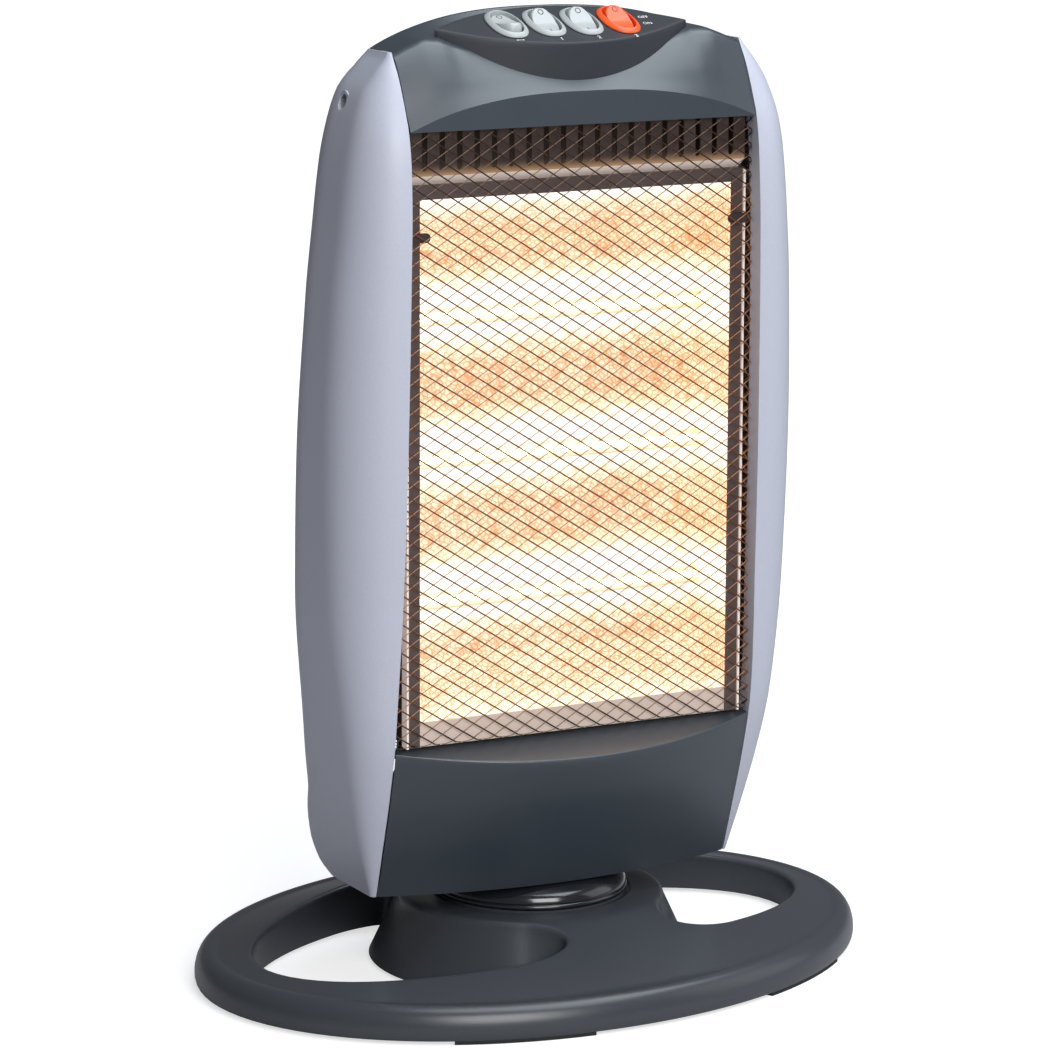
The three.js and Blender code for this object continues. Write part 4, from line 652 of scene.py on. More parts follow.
def reflector_material():
    """Painted light: the emission follows the distance from the nearest tube; every pebble of the embossed
    sheet has a painted highlight in its middle, in its emission and its base colour, and is orange along its
    edge; fine noise adds painted glints."""
    m, tree, shader, at = material("hammered_reflector")
    edge = pebbles(tree, at)
    middle = remap(tree, edge, .0, .2, 0.0, 1.0)
    drift = noise(tree, at, 26, 3.0, .6)
    painted_glint = noise(tree, at, 170, 2.0)
    # Painted highlight in each pebble's middle and painted glints from the fine noise, on top of the painted
    # glow.
    level = plus(tree, times(tree, glow_level(tree, at), .70), times(tree, middle, .32))
    level = plus(tree, level, times(tree, minus(tree, drift, .42), .5))
    level = plus(tree, level, times(tree, minus(tree, painted_glint, .5), .5), clamp=True)
    ramp = tree.nodes.new("ShaderNodeValToRGB")
    first, last = ramp.color_ramp.elements
    first.position, first.color = .0, (.60, .24, .09, 1)
    last.position, last.color = .86, (1.0, 1.0, .96, 1)
    for place, colour in GLOW_STEPS:
        ramp.color_ramp.elements.new(place).color = (*colour, 1)
    tree.links.new(level, ramp.inputs["Fac"])
    feed(tree, shader, {"Emission Color": ramp.outputs["Color"], "Emission Strength": 1.15, "Metallic": .9,
                        "Base Color": mix_colour(tree, middle, (.22, .13, .08), (.42, .32, .24)),
                        "Roughness": .36})
    bump(tree, shader, edge, .5)
    return m


def glow_material(name, colour, strength):
    """A part that shines by emission: real light for the glowing coil, painted light for the parts lit by the
    tubes. Its colour flickers a little along its length.
    """
    m, tree, shader, at = material(name)
    shade = mix_colour(tree, noise(tree, at, 120, 2.0), tuple(c * .85 for c in colour), colour)
    feed(tree, shader, {"Base Color": colour, "Emission Color": shade, "Emission Strength": strength,
                        "Roughness": .5})
    return m


def glass_material():
    """Quartz glass: clear, thin and colourless, with light passing straight through."""
    m, tree, shader, at = material("quartz_glass")
    feed(tree, shader,
         {"Base Color": (1, .96, .88), "Transmission Weight": 1.0, "Roughness": .03, "IOR": 1.46})
    bump(tree, shader, noise(tree, at, 90, 1.0), .02)
    return m


reflector_painted_glow = reflector_material()
case_sheet = case_material()
vent_sheet = vent_material()
filament_finish = glow_material("glowing_coil", (1.0, .84, .58), 3.0)
# The caps, the sloped strip and the lit edges are no lamps: their emission is painted light from the tubes.
cap_painted_glow = glow_material("lit_ceramic", (.95, .78, .56), .75)
strip_painted_glow = glow_material("lit_strip", (.66, .56, .50), .42)
edge_painted_glow = glow_material("lit_edge", (.50, .40, .34), .30)
glass_finish = glass_material()


# %% Dressing a piece
def dress(obj, mat, body, node=()):
    """Gives the piece its finish, lets it ride on a body and stand for CAD nodes."""
    obj.data.materials.clear()
    obj.data.materials.append(mat)
    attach(obj, body)
    if node:
        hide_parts(*((node,) if isinstance(node, str) else node))
    return obj


def refinish(node, mat):
    """A CAD node that keeps its shape gets the finish in every material slot of its object."""
    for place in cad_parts[node].material_slots:
        place.link = "OBJECT"
        place.material = mat


# %% [markdown]
# ## Floor base
# One moulding: a boss in the middle, a sloped oval ring, and two kidney holes beside the boss.
# The top is two grids in polar form. They share a line across the bridges, and part along the holes.

# %% Base numbers
BASE_X, BASE_Y = 200.0, 149.0
BASE_WALL = 3.0
BASE_LOW = 2.0
HOLE_X, HOLE_Y = 173.0, 97.0
HOLE_REACH = math.radians(66)
HOLE_ROUND = math.radians(51)
HOLE_STEPS = 72
TIP_RADIUS = 86.0
BOSS_TOP = 39.5
BOSS_DROP = 0.9
BOSS_FLAT, BOSS_EDGE, BOSS_FOOT = 64.0, 74.0, 90.0
RECESS_Z, RECESS_RADIUS = 38.0, 56.0
BOLT_HOLE = 4.3
RIM_ROUND = 12.0
RIM_TOP = 19.0
RIM_FOOT = 6.0
EDGE = 3.0


def polar(r, angle, z):
    return xyz(r * np.cos(angle), r * np.sin(angle), z)


def oval_radius(half_x, half_y, angle):
    """Distance from the middle to an ellipse in a direction."""
    return 1 / np.hypot(np.cos(angle) / half_x, np.sin(angle) / half_y)


def top_height(r, angle):
    """Boss top with a soft edge, then a straight slope to the rim's rounding."""
    rim = oval_radius(BASE_X - RIM_ROUND, BASE_Y - RIM_ROUND, angle)
    slope = lerp(BOSS_TOP - BOSS_DROP, RIM_TOP, (r - BOSS_EDGE) / (rim - BOSS_EDGE))
    boss = BOSS_TOP - BOSS_DROP * np.clip((r - BOSS_FLAT) / (BOSS_EDGE - BOSS_FLAT), 0, 1) ** 2
    return np.where(r < BOSS_EDGE, boss, slope)


def kidney(angle, grow, z):
    """Near and far radius of a hole's outline at an angle from its middle; both meet at its tips."""
    reach = HOLE_REACH + grow / TIP_RADIUS
    near = BOSS_EDGE + (BOSS_TOP - z) * (BOSS_FOOT - BOSS_EDGE) / (BOSS_TOP - BASE_LOW) - grow
    far = oval_radius(HOLE_X + grow, HOLE_Y + grow, angle)
    past = np.clip((np.abs(angle) - HOLE_ROUND) / (reach - HOLE_ROUND), 0, 1)
    half = (far - near) / 2 * np.sqrt(1 - past ** 2)
    middle = (far + near) / 2
    return middle - half, middle + half


def hole_angles(grow):
    """Angles along a hole, closer together at its tips."""
    return (HOLE_REACH + grow / TIP_RADIUS) * np.sin(np.pi * (np.arange(HOLE_STEPS + 1) / HOLE_STEPS - .5))


def kidney_loop(side, grow, drop, z=None):
    """Closed outline of a hole: along its far side and back along its near side, dropped below the top."""
    a = hole_angles(grow)
    near, far = kidney(a, grow, BOSS_TOP - BOSS_DROP if z is None else z)
    angle = np.concatenate([a, a[-2:0:-1]])
    r = np.concatenate([far, near[-2:0:-1]])
    turned_angle = angle if side > 0 else np.pi - angle
    height = top_height(r, turned_angle) - drop if z is None else z
    return polar(r, turned_angle, height)


def hole_wall(side):
    """The rounded edge of a hole and its wall down to the rim's foot."""
    turns = [k / 6 * math.pi / 2 for k in range(7)]
    rows = [kidney_loop(side, EDGE * (1 - math.sin(q)), EDGE * (1 - math.cos(q))) for q in turns]
    top, low = kidney_loop(side, 0, EDGE), kidney_loop(side, 0, 0, z=BASE_LOW)
    g = np.array(rows + [lerp(top, low, t) for t in np.linspace(0, 1, 7)[1:]])
    f = grid_faces(*g.shape[:2], wrap=True)
    return g.reshape(-1, 3), f[:, ::-1] if side > 0 else f


def base_surface():
    """The whole outer skin: boss, slope, rounded rim, rounded hole edges and the walls of the holes.
    Over a bridge the line between the boss and the slope keeps the radius it has at the tips."""
    reach = HOLE_REACH + EDGE / TIP_RADIUS
    a = hole_angles(EDGE)
    near, far = kidney(a, EDGE, BOSS_TOP - BOSS_DROP)
    bridge = np.linspace(reach, np.pi - reach, 30)[1:-1]
    over = np.full(len(bridge), near[-1])
    angles = np.concatenate([a, bridge, np.pi + a, bridge + np.pi])
    joins_near = np.concatenate([near, over, near[::-1], over])
    joins_far = np.concatenate([far, over, far[::-1], over])
    recess = [(BOLT_HOLE, RECESS_Z), (30, RECESS_Z), (RECESS_RADIUS - .6, RECESS_Z),
              (RECESS_RADIUS - .1, RECESS_Z + .3), (RECESS_RADIUS, BOSS_TOP - .4),
              (RECESS_RADIUS + .5, BOSS_TOP), (RECESS_RADIUS + 4, BOSS_TOP)]
    inner = [polar(r, angles, z) for r, z in recess]
    for t in np.linspace(.12, 1, 14):
        r = lerp(RECESS_RADIUS + 4, joins_near, t)
        inner.append(polar(r, angles, top_height(r, angles)))
    outer = []
    rim = oval_radius(BASE_X - RIM_ROUND, BASE_Y - RIM_ROUND, angles)
    for t in np.linspace(0, 1, 14):
        r = lerp(joins_far, rim, t)
        outer.append(polar(r, angles, top_height(r, angles)))
    sections = []
    for turn in np.linspace(0, 1, 15)[1:] * math.pi / 2:
        z = RIM_FOOT + (RIM_TOP - RIM_FOOT) * math.cos(turn) + 1.6 * math.sin(2 * turn)
        sections.append((RIM_ROUND * (1 - math.sin(turn)), z))
    for back, z in sections + [(.1, 4.4), (.5, 2.8), (.9, BASE_LOW)]:
        outer.append(polar(oval_radius(BASE_X - back, BASE_Y - back, angles), angles, z))
    grids = np.array(inner), np.array(outer)
    parts = [(g.reshape(-1, 3), grid_faces(*g.shape[:2], wrap=True)) for g in grids]
    return merge_meshes(parts + [hole_wall(side) for side in (1, -1)])


# %% Base
PIN_SLOT_HALF = 4.31
PIN_NEAR, PIN_FAR = 14.745, 28.324
PIN_SLOT_LOW, PIN_SLOT_HIGH = 30.0, 50.0
base = new_object("base_moulding", *base_surface(), on_head=False)
tidy(base, 30, merge=2e-5)
thicken(base, BASE_WALL, even=False)
slot_parts = [box_mesh(-PIN_SLOT_HALF, PIN_SLOT_HALF, PIN_NEAR, PIN_FAR, PIN_SLOT_LOW, PIN_SLOT_HIGH)]
slot_parts += [cylinder_mesh((0, y, PIN_SLOT_LOW + .5), (0, y, PIN_SLOT_HIGH - .5), PIN_SLOT_HALF, 32)
               for y in (PIN_NEAR, PIN_FAR)]
for k, part in enumerate(slot_parts):
    cut_with(base, tidy(new_object(f"slot_cutter_{k}", *part, on_head=False)))
shade(base, 35)
dress(base, base_plastic, "base", "base_shell")
for node in ("foot_front_left", "foot_front_right", "foot_rear_left", "foot_rear_right"):
    refinish(node, foot_rubber)
refinish("glide_ring", rear_plastic)
refinish("pivot_bolt", steel)
refinish("pivot_nut", steel)
print("base faces:", len(base.data.polygons))

# %% [markdown]
# ## Turntable
# A glossy low dome turned on a lathe. Its profile is carried round the swing axis.

# %% Turntable
TABLE_RADIUS = 54.0
TABLE_BOTTOM, TABLE_TOP = 40.1, 53.2
TABLE_RIM, TABLE_WALL = 3.0, 2.5
TABLE_FLAT, TABLE_EYE = 38.0, 30.0


def turn_profile(profile, sides=128):
    """A closed profile of radius and height carried round the swing axis."""
    r, z = (np.array(v, float) for v in zip(*profile))
    ring = polar(r[:, None], np.arange(sides) * 2 * np.pi / sides, z[:, None])
    ring = np.concatenate([ring, ring[:1]])
    return ring.reshape(-1, 3), grid_faces(len(r) + 1, sides, wrap=True)


def table_profile():
    """Rim, dome, and back under the dome."""
    low = TABLE_BOTTOM + TABLE_RIM
    q = np.radians(np.linspace(4, 88, 22))

    def dome(inset, wall):
        reach = TABLE_RADIUS - inset - TABLE_FLAT
        return list(zip(TABLE_FLAT + reach * np.cos(q), low + (TABLE_TOP - low - wall) * np.sin(q)))

    rim = [(TABLE_RADIUS - back, z) for back, z in (
        (3.5, TABLE_BOTTOM), (1.4, TABLE_BOTTOM), (.5, TABLE_BOTTOM + .3), (0, TABLE_BOTTOM + .9),
        (0, low - 1.2), (.2, low - .6), (1, low - .1))]
    eye = [(TABLE_EYE, TABLE_TOP), (TABLE_EYE, TABLE_TOP - TABLE_WALL)]
    return rim + dome(.4, 0) + eye + dome(3.9, TABLE_WALL)[::-1]


table = new_object("turntable_dome", *turn_profile(table_profile()))
tidy(table, 40)
dress(table, table_plastic, "head", "turntable")

# %% [markdown]
# ## Side panels
# Each panel is a section carried up the head: a return lip at the guard, a rounded front corner, a flat
# side, and a rounded rear corner that ends at the seam with the rear housing.

# %% Section of the head
def rear_corner(z):
    w = half_width(z)
    back = back_depth(share(z))
    radius = np.minimum(np.minimum(REAR_CORNER, 2.8 * (w - seam_x(z))), .45 * (back - seam_y(z)))
    return w, back, radius


def panel_rows(z):
    """Outline of the right panel at each height, from the lip round the front to the rear seam."""
    z = np.asarray(z, float)[:, None]
    w, back, radius = rear_corner(z)
    x, y = seam_x(z), seam_y(z)
    front = np.minimum(w - x, .5 * (back - y))
    a = np.linspace(0, np.pi / 2, 13)
    b = np.linspace(0, REAR_TURN, 13)
    lip_y = y + LIP * np.array([1, .66, .33, .08])
    side_y = lerp(y + front, back - radius, np.array([.15, .3, .45, .6, .75, .9]))
    px = [x + 0 * lip_y, x + (w - x) * np.sin(a), w + 0 * side_y, w - radius + radius * np.cos(b)]
    py = [lip_y, y + front * (1 - np.cos(a)), side_y, back - radius + radius * np.sin(b)]
    px, py = np.concatenate(px, axis=1), np.concatenate(py, axis=1)
    return xyz(px, py, z + 0 * px)


def inset_rows(rows, wall):
    """Each outline moved inwards by its wall, square to the outline."""
    d = np.gradient(rows[..., :2], axis=1)
    n = np.stack([-d[..., 1], d[..., 0]], axis=-1)
    n /= np.linalg.norm(n, axis=-1, keepdims=True)
    moved = rows.copy()
    moved[..., :2] += n * wall
    return moved


def crest_line(x):
    """Where the upper fascia meets the rear housing on the roof; it swings forward towards the sides."""
    _, back, radius = rear_corner(SHOULDER)
    side = float(back - radius + radius * math.sin(REAR_TURN))
    return lerp(CREST_Y, side, np.minimum(1, np.abs(x) / SEAM_HALF) ** 4)


def mirrored(points):
    return points * np.array([-1.0, 1, 1])


def level_list():
    """Heights of the section's rows, closer together at the shoulder and the foot."""
    t = np.linspace(0, 1, 64)
    return HEAD_FLOOR + (SHOULDER - HEAD_FLOOR) * (.5 - .5 * np.cos(np.pi * t)) ** .92


LEVELS = level_list()
SCREW_Y, SCREW_Z = -19.0, 484.0
SCREW_CUP = 6.2, 16.0, 1.4, 32
SCREW_CUTS = (4.2, 13.5, -10, 40), (2.1, 22, 12, 24)


def screw_bar(radius, deep, near, sides):
    """A bar across the right panel at its screw, from one depth under its face to another."""
    face = float(half_width(SCREW_Z))
    return cylinder_mesh((face - deep, SCREW_Y, SCREW_Z), (face - near, SCREW_Y, SCREW_Z), radius, sides)


def side_panel(side, name):
    """The panel and the cup behind its screw hole; the hole and the screw's shank are cut from both."""
    def placed(label, mesh, angle=35):
        points, faces = mesh
        return tidy(new_object(label, points if side > 0 else mirrored(points), faces), angle)

    outer = panel_rows(LEVELS)
    wall = np.minimum(WALL, .45 * (half_width(LEVELS) - seam_x(LEVELS)))[:, None, None]
    skin = placed(f"side_panel_{name}_skin", shell(outer, inset_rows(outer, wall)), 50)
    tools = [screw_bar(*numbers) for numbers in SCREW_CUTS]
    for k, tool in enumerate(tools):
        cut_with(skin, placed(f"{name}_hole_{k}", tool))
    cup = placed(f"side_boss_{name}", screw_bar(*SCREW_CUP))
    for k, tool in enumerate(tools):
        cut_with(cup, placed(f"{name}_bore_{k}", tool))
    return tidy(skin, 50), tidy(cup, 40)


for side, name in ((1, "right"), (-1, "left")):
    panel, cup = side_panel(side, name)
    dress(soften(panel, .5), side_plastic, "head", "side_panel_" + name)
    dress(cup, side_plastic, "head")
    refinish("side_screw_" + name, steel)
print("side panels made")

# %% [markdown]
# ## Rear housing
# The back is a crowned sheet between the two rear seams; over the top it rolls forward to the crest.

# %% Rear housing
ROOF_START = 480.0


def rear_rows(z, c):
    """Points of the back for heights and places across, -1 to 1; over the roof the middle rolls forward."""
    z = np.asarray(z, float)[:, None]
    c = np.asarray(c, float)[None, :]
    w, back, radius = rear_corner(z)
    corner_x = w - radius + radius * math.cos(REAR_TURN)
    corner_y = back - radius + radius * math.sin(REAR_TURN)
    t = np.clip((z - ROOF_START) / (SHOULDER - ROOF_START), 0, 1)
    roof_y = float(back_depth(share(ROOF_START))) + BACK_CROWN
    turn = np.pi / 2 * t
    middle_y = np.where(t > 0, lerp(CREST_Y, roof_y, np.maximum(np.cos(turn), 0) ** .9), back + BACK_CROWN)
    middle_z = np.where(t > 0, lerp(ROOF_START, CREST, np.sin(turn)), z)
    away = np.abs(c)
    y, z = lerp(middle_y, corner_y + GAP, away ** 4), lerp(middle_z, z, away ** 2.5)
    return xyz(c * (corner_x - .25), y, z)


def rear_housing():
    c = np.sin(np.linspace(1, -1, 61) * np.pi / 2) * .35 + np.linspace(1, -1, 61) * .65
    levels = np.concatenate([LEVELS[LEVELS < 479], np.linspace(ROOF_START, SHOULDER, 26)])
    outer = rear_rows(levels, c)
    n = grid_normals(outer)
    n[0, :, 2] = 0
    n[-1, :, 1] = 0
    seam = REAR_TURN * .95
    n[:, 0] = (math.cos(seam), math.sin(seam), 0)
    n[:, -1] = (-math.cos(seam), math.sin(seam), 0)
    n /= np.linalg.norm(n, axis=-1, keepdims=True)
    return tidy(new_object("rear_housing_skin", *shell(outer, outer - WALL * n)), 50)


def back_at(z):
    return float(back_depth(share(z))) + BACK_CROWN


INLET_X, INLET_Z, INLET_RADIUS = 38.0, 84.0, 6.3
POCKET_Z, POCKET_HALF, POCKET_HIGH = 425.0, 46.0, 13.0
POCKET_DEEP, POCKET_WALL, POCKET_SINK = 18.0, 2.0, 1.9
OUTSIDE = 20.0
REAR_SLOT_PITCH, REAR_SLOT_HALF, REAR_SLOT_HIGH, REAR_SLOT_DEEP = 11, 2, 14, 14


def stadium(x, z, half_w, half_h, y0, y1, steps=8):
    """Upright slot with round ends, as a prism along the depth."""
    a = np.linspace(0, np.pi, steps + 1)
    ox = np.concatenate([half_w * np.cos(a), -half_w * np.cos(a)]) + x
    oz = np.concatenate([half_h - half_w + half_w * np.sin(a), -(half_h - half_w) - half_w * np.sin(a)]) + z
    return rings_mesh([xyz(ox, y0, oz), xyz(ox, y1, oz)])


def pocket_box(wall, y1):
    """The hand recess, grown by a wall."""
    x, z = POCKET_HALF + wall, POCKET_HIGH + wall
    return box_mesh(-x, x, back_at(POCKET_Z) - POCKET_DEEP - wall, y1, POCKET_Z - z, POCKET_Z + z)


def rear_slot(k, z):
    return stadium(k * REAR_SLOT_PITCH, z, REAR_SLOT_HALF, REAR_SLOT_HIGH, back_at(z) - REAR_SLOT_DEEP,
                   back_at(z) + OUTSIDE)


rear = rear_housing()
grip = pocket_box(0, back_at(POCKET_Z) + OUTSIDE)
inlet = cylinder_mesh((INLET_X, 20, INLET_Z), (INLET_X, 95, INLET_Z), INLET_RADIUS, 32)
slots = merge_meshes([rear_slot(k, z) for z in (110, 372) for k in range(-5, 6) if k])
for name, tool in (("grip_cutter", grip), ("inlet_cutter", inlet), ("slot_cutter", slots)):
    cut_with(rear, tidy(new_object(name, *tool)))
tidy(rear, 50)
dress(soften(rear, .4), rear_plastic, "head", "rear_housing")
cup = tidy(new_object("hand_recess", *pocket_box(POCKET_WALL, back_at(POCKET_Z) - POCKET_SINK)))
cut_with(cup, tidy(new_object("recess_cutter", *grip)))
dress(soften(tidy(cup, 40), .4), rear_plastic, "head")
refinish("cord_inlet", foot_rubber)
print("rear faces:", len(rear.data.polygons))

# %% [markdown]
# ## Upper fascia
# A flat front band with an arched top edge flows into a top that is straight in the middle and has a sharp
# shoulder at the sides. A lens-shaped opening in it takes the control panel.

# %% Upper fascia
SEAM_SHADOW = .8
FASCIA_HALF = SEAM_HALF - SEAM_SHADOW
POD_HALF, POD_DEPTH, POD_Y = 76.0, 21.5, -31.5
FRONT_DROP = 41.0
drop_side = curve_through([(BAND_Y, 40), (-55.6, 31), (-51.2, 21), (-46.1, 11), (-43, 6), (-40, 2.4),
                           (-36, .9),
                           (-28, .3), (CREST_Y, 0)])
side_share = curve_through([(0, 0), (.06, .012), (.14, .058), (.333, .22), (.52, .42), (.65, .63),
                            (.75, .88),
                            (.85, 1), (1, 1)])


def fascia_height(x, y):
    """Crest height over x less a drop towards the front, blended from a straight line to a sharp shoulder."""
    c = np.minimum(1, np.abs(x) / FASCIA_HALF)
    crest = lerp(CREST, SHOULDER, c ** 2.5)
    middle = FRONT_DROP * (CREST_Y - y) / (CREST_Y - BAND_Y)
    return np.maximum(crest - lerp(middle, drop_side(y), side_share(c)), BAND_BOTTOM + .4)


def lens_half(x, half_x=POD_HALF, half_y=POD_DEPTH):
    """Half depth of the lens at x: two circle arcs that meet at its ends."""
    radius = (half_x ** 2 + half_y ** 2) / (2 * half_y)
    return np.sqrt(np.maximum(radius ** 2 - x ** 2, 0)) - radius + half_y


def top_fascia():
    """The band and the roof before the lens, and the roof behind it."""
    reach, depth = POD_HALF + GAP, POD_DEPTH + GAP
    inside = reach * np.sin(np.linspace(-1, 1, 81) * np.pi / 2)
    x = np.concatenate([np.linspace(-FASCIA_HALF, -reach, 16)[:-1], inside,
                        np.linspace(reach, FASCIA_HALF, 16)[1:]])
    half = np.where(np.abs(x) < reach, lens_half(x, reach, depth), 0)
    before = [lerp(BAND_Y, POD_Y - half, k) for k in np.linspace(0, 1, 40)]
    behind = [lerp(POD_Y + half, crest_line(x) - GAP, k) for k in np.linspace(0, 1, 16)]
    band = [xyz(x, BAND_Y, lerp(BAND_BOTTOM, fascia_height(x, BAND_Y), t)) for t in (0, .15, .5, .9)]
    front = np.array(band + [xyz(x, y, fascia_height(x, y)) for y in before])
    back = np.array([xyz(x, y, fascia_height(x, y)) for y in behind])
    parts = [(g.reshape(-1, 3), grid_faces(*g.shape[:2])) for g in (front, back)]
    obj = new_object("top_fascia_skin", *merge_meshes(parts))
    tidy(obj, 30, merge=1e-5, recalc=False)
    thicken(obj, WALL, even=False)
    shade(obj, 19)
    return obj


fascia = top_fascia()
dress(soften(fascia, .35, 2, 50), fascia_plastic, "head", "top_fascia")
print("fascia faces:", len(fascia.data.polygons))

# %% [markdown]
# ## Control panel
# The panel stands up out of the lens-shaped opening, and its face leans towards the user. Four switches
# stand in a row in it.

# %% Control panel
POD_Z = 521.6
POD_TILT = math.radians(21)
POD_DEEP, POD_WALL, POD_ROUND = 34.0, 1.8, 1.2
BEZEL_X, BEZEL_V = 20.5 / 2, 31.5 / 2
NECK_X, NECK_V = BEZEL_X - 1.5, BEZEL_V - 1.5
SWITCH_Y, SWITCH_FIRST, SWITCH_PITCH = -31.0, -33, 22.5
SWITCH_V = (SWITCH_Y - POD_Y) / math.cos(POD_TILT)
switch_x = [SWITCH_FIRST + SWITCH_PITCH * k for k in range(4)]


def on_panel(points):
    """From the panel's face, x across, v up the slope, z out of it, to the head's frame."""
    p = np.asarray(points, float)
    c, s = math.cos(POD_TILT), math.sin(POD_TILT)
    return xyz(p[..., 0], p[..., 1] * c - p[..., 2] * s + POD_Y, p[..., 1] * s + p[..., 2] * c + POD_Z)


def face_height(y):
    return POD_Z + (y - POD_Y) * math.tan(POD_TILT)


def lens_loop(inset, steps=64):
    """Outline of the lens, moved in, with equal steps along both arcs."""
    half_x = POD_HALF - inset * 2.2
    x = half_x * np.sin(np.linspace(-1, 1, steps + 1) * np.pi / 2)
    y = lens_half(x, half_x, POD_DEPTH - inset)
    return np.concatenate([x, x[-2:0:-1]]), np.concatenate([-y, y[-2:0:-1]]) + POD_Y


def control_panel():
    """The leaning face, its rounded edge and its wall, with an oval hole for each switch."""
    rings = []
    x, y = lens_loop(POD_ROUND)
    for k in (.35, .6, .8, .95, 1):
        leaning = POD_Y + (y - POD_Y) * k
        rings.append(xyz(x * k, leaning, face_height(leaning)))
    for turn in np.linspace(0, np.pi / 2, 6)[1:]:
        x, y = lens_loop(POD_ROUND * (1 - math.sin(turn)))
        rings.append(xyz(x, y, face_height(y) - POD_ROUND * (1 - math.cos(turn))))
    x, y = lens_loop(0)
    rings += [xyz(x, y, lerp(face_height(y) - POD_ROUND, POD_Z - POD_DEEP, t)) for t in (.1, .4, .7, 1)]
    obj = new_object("control_panel_skin", *rings_mesh(rings, close_last=False))
    tidy(obj, 30)
    thicken(obj, POD_WALL, even=False)
    ox, ov = oval_outline(NECK_X + GAP, NECK_V + GAP, 64)
    for k, x0 in enumerate(switch_x):
        tool = rings_mesh([on_panel(xyz(ox + x0, ov + SWITCH_V, z)) for z in (-30, 20)])
        cut_with(obj, tidy(new_object(f"switch_cutter_{k}", *tool)))
    return tidy(obj, 40)


pod = control_panel()
dress(pod, pod_plastic, "head", "control_panel")
print("panel faces:", len(pod.data.polygons))

# %% [markdown]
# ## Switches
# Each switch is an oval bezel with a sloping face, a well below it and a rocker that turns on small pins.

# %% Switches
ROCKER_V, ROCKER_X = 12.6, 7.0
ROCKER_TOP, ROCKER_FOOT, ROCKER_VALLEY = 7.2, 4.0, 2.0
ROCKER_TILT = math.radians(14)
PIVOT_DEEP = 4.0
SWITCH_DEEP, WELL_FLOOR = -15.0, -13.5
MARK_V, MARK_PROUD = 7.6, .06


def switch_body(x0, name):
    """Rings from outside to inside: neck, bezel edge, rounded top, and down into the well."""
    well_x, well_v = ROCKER_X + .45, ROCKER_V + .5
    outside = [(NECK_X, NECK_V, SWITCH_DEEP), (NECK_X, NECK_V, .2)]
    outside += [(BEZEL_X - back, BEZEL_V - back, z) for back,
                z in ((0, GAP), (0, .7), (.2, 1.0), (1.0, 1.6))]
    well = [(well_x + .7, well_v + .8, 2.3), (well_x + .3, well_v + .35, 2.4),
            (well_x + .06, well_v + .08, 2.2)]
    well += [(well_x, well_v, z) for z in (1.6, -5, WELL_FLOOR)]
    rings = []
    for half_x, half_v, z in outside + well:
        ox, ov = oval_outline(half_x, half_v, 72)
        rings.append(on_panel(xyz(ox + x0, ov + SWITCH_V, z)))
    return tidy(new_object(name, *rings_mesh(rings)), 40)


def rocker_top(v):
    """Height of the rocker's face: lowest over the pins, highest near its ends."""
    return ROCKER_TOP - ROCKER_VALLEY + ROCKER_VALLEY * np.clip(np.abs(v) / (ROCKER_V - 3), 0, 1) ** 1.4


def on_rocker(points, x0, tilt):
    """From the rocker's own frame, turned about its pins, to the head's frame."""
    c, s = math.cos(tilt), math.sin(tilt)
    y, z = points[:, 1] * c - points[:, 2] * s, points[:, 1] * s + points[:, 2] * c
    return on_panel(xyz(points[:, 0] + x0, y + SWITCH_V, z - PIVOT_DEEP))


def flat_ring(radius, wide, steps=28):
    """Points and quads of a flat ring in the plane, as a strip between two circles."""
    a = np.arange(steps) * 2 * np.pi / steps
    circles = [polar(r, a, 0) for r in (radius - wide, radius)]
    return np.concatenate(circles), grid_faces(2, steps, wrap=True)


def flat_bar(wide, long, steps=4):
    """Points and quads of a flat bar in the plane, in short steps so that it follows a curved face."""
    v = np.linspace(-long / 2, long / 2, steps + 1)
    sides = [xyz(x + 0 * v, v, 0) for x in (-wide / 2, wide / 2)]
    return np.concatenate(sides), grid_faces(2, steps + 1)


def rocker_marks(x0, tilt, name):
    """A printed ring on one end of the rocker and a bar on the other."""
    parts = []
    for (points, faces), v0 in ((flat_ring(1.7, .45), MARK_V), (flat_bar(.5, 3.0), -MARK_V)):
        v = points[:, 1] + v0
        parts.append((xyz(points[:, 0], v, rocker_top(v) + MARK_PROUD), faces))
    points, faces = merge_meshes(parts)
    return thicken(tidy(new_object(name, on_rocker(points, x0, tilt), faces), 60), .05, even=False)


def rocker(x0, tilt, name):
    """Rings up the rocker's side and in over its top, a shallow valley between two raised ends; two pins."""
    rings = []
    foot = math.sqrt(ROCKER_V ** 2 - ROCKER_FOOT ** 2)
    sections = [(.97, foot, -ROCKER_FOOT), (1, foot + .35, -2)]
    sections += [(k, ROCKER_V - back, z) for k, back, z in (
        (1, 0, 0), (1, .1, 2.4), (.99, .3, 4.2), (.965, .6, 5.4), (.92, 1.1, 6.3))]
    for k, half_v, z in sections:
        ox, ov = oval_outline(ROCKER_X * k, half_v, 56)
        rings.append(xyz(ox, ov, z - .9 * (1 - np.clip(np.abs(ov) / ROCKER_V, 0, 1)) * (z > 2)))
    for k in (.85, .76, .62, .45, .28, .12):
        ox, ov = oval_outline(ROCKER_X * k, (ROCKER_V - .6) * k, 56)
        rings.append(xyz(ox, ov, rocker_top(ov)))
    pins = cylinder_mesh((-NECK_X + .4, 0, 0), (NECK_X - .4, 0, 0), 1.2, 16)
    points, faces = merge_meshes([rings_mesh(rings), pins])
    return tidy(new_object(name, on_rocker(points, x0, tilt), faces), 50)


for k, x0 in enumerate(switch_x, start=1):
    finish = orange_plastic if k == 4 else switch_plastic
    dress(switch_body(x0, f"switch_bezel_{k}"), finish, "head", f"switch_body_{k}")
    tilt = -ROCKER_TILT if k == 1 else ROCKER_TILT
    dress(rocker(x0, tilt, f"rocker_cap_{k}"), finish, f"rocker_{k}", f"switch_rocker_{k}")
    dress(rocker_marks(x0, tilt, f"rocker_mark_{k}"), rear_plastic, f"rocker_{k}")
print("switches made:", len(switch_x))


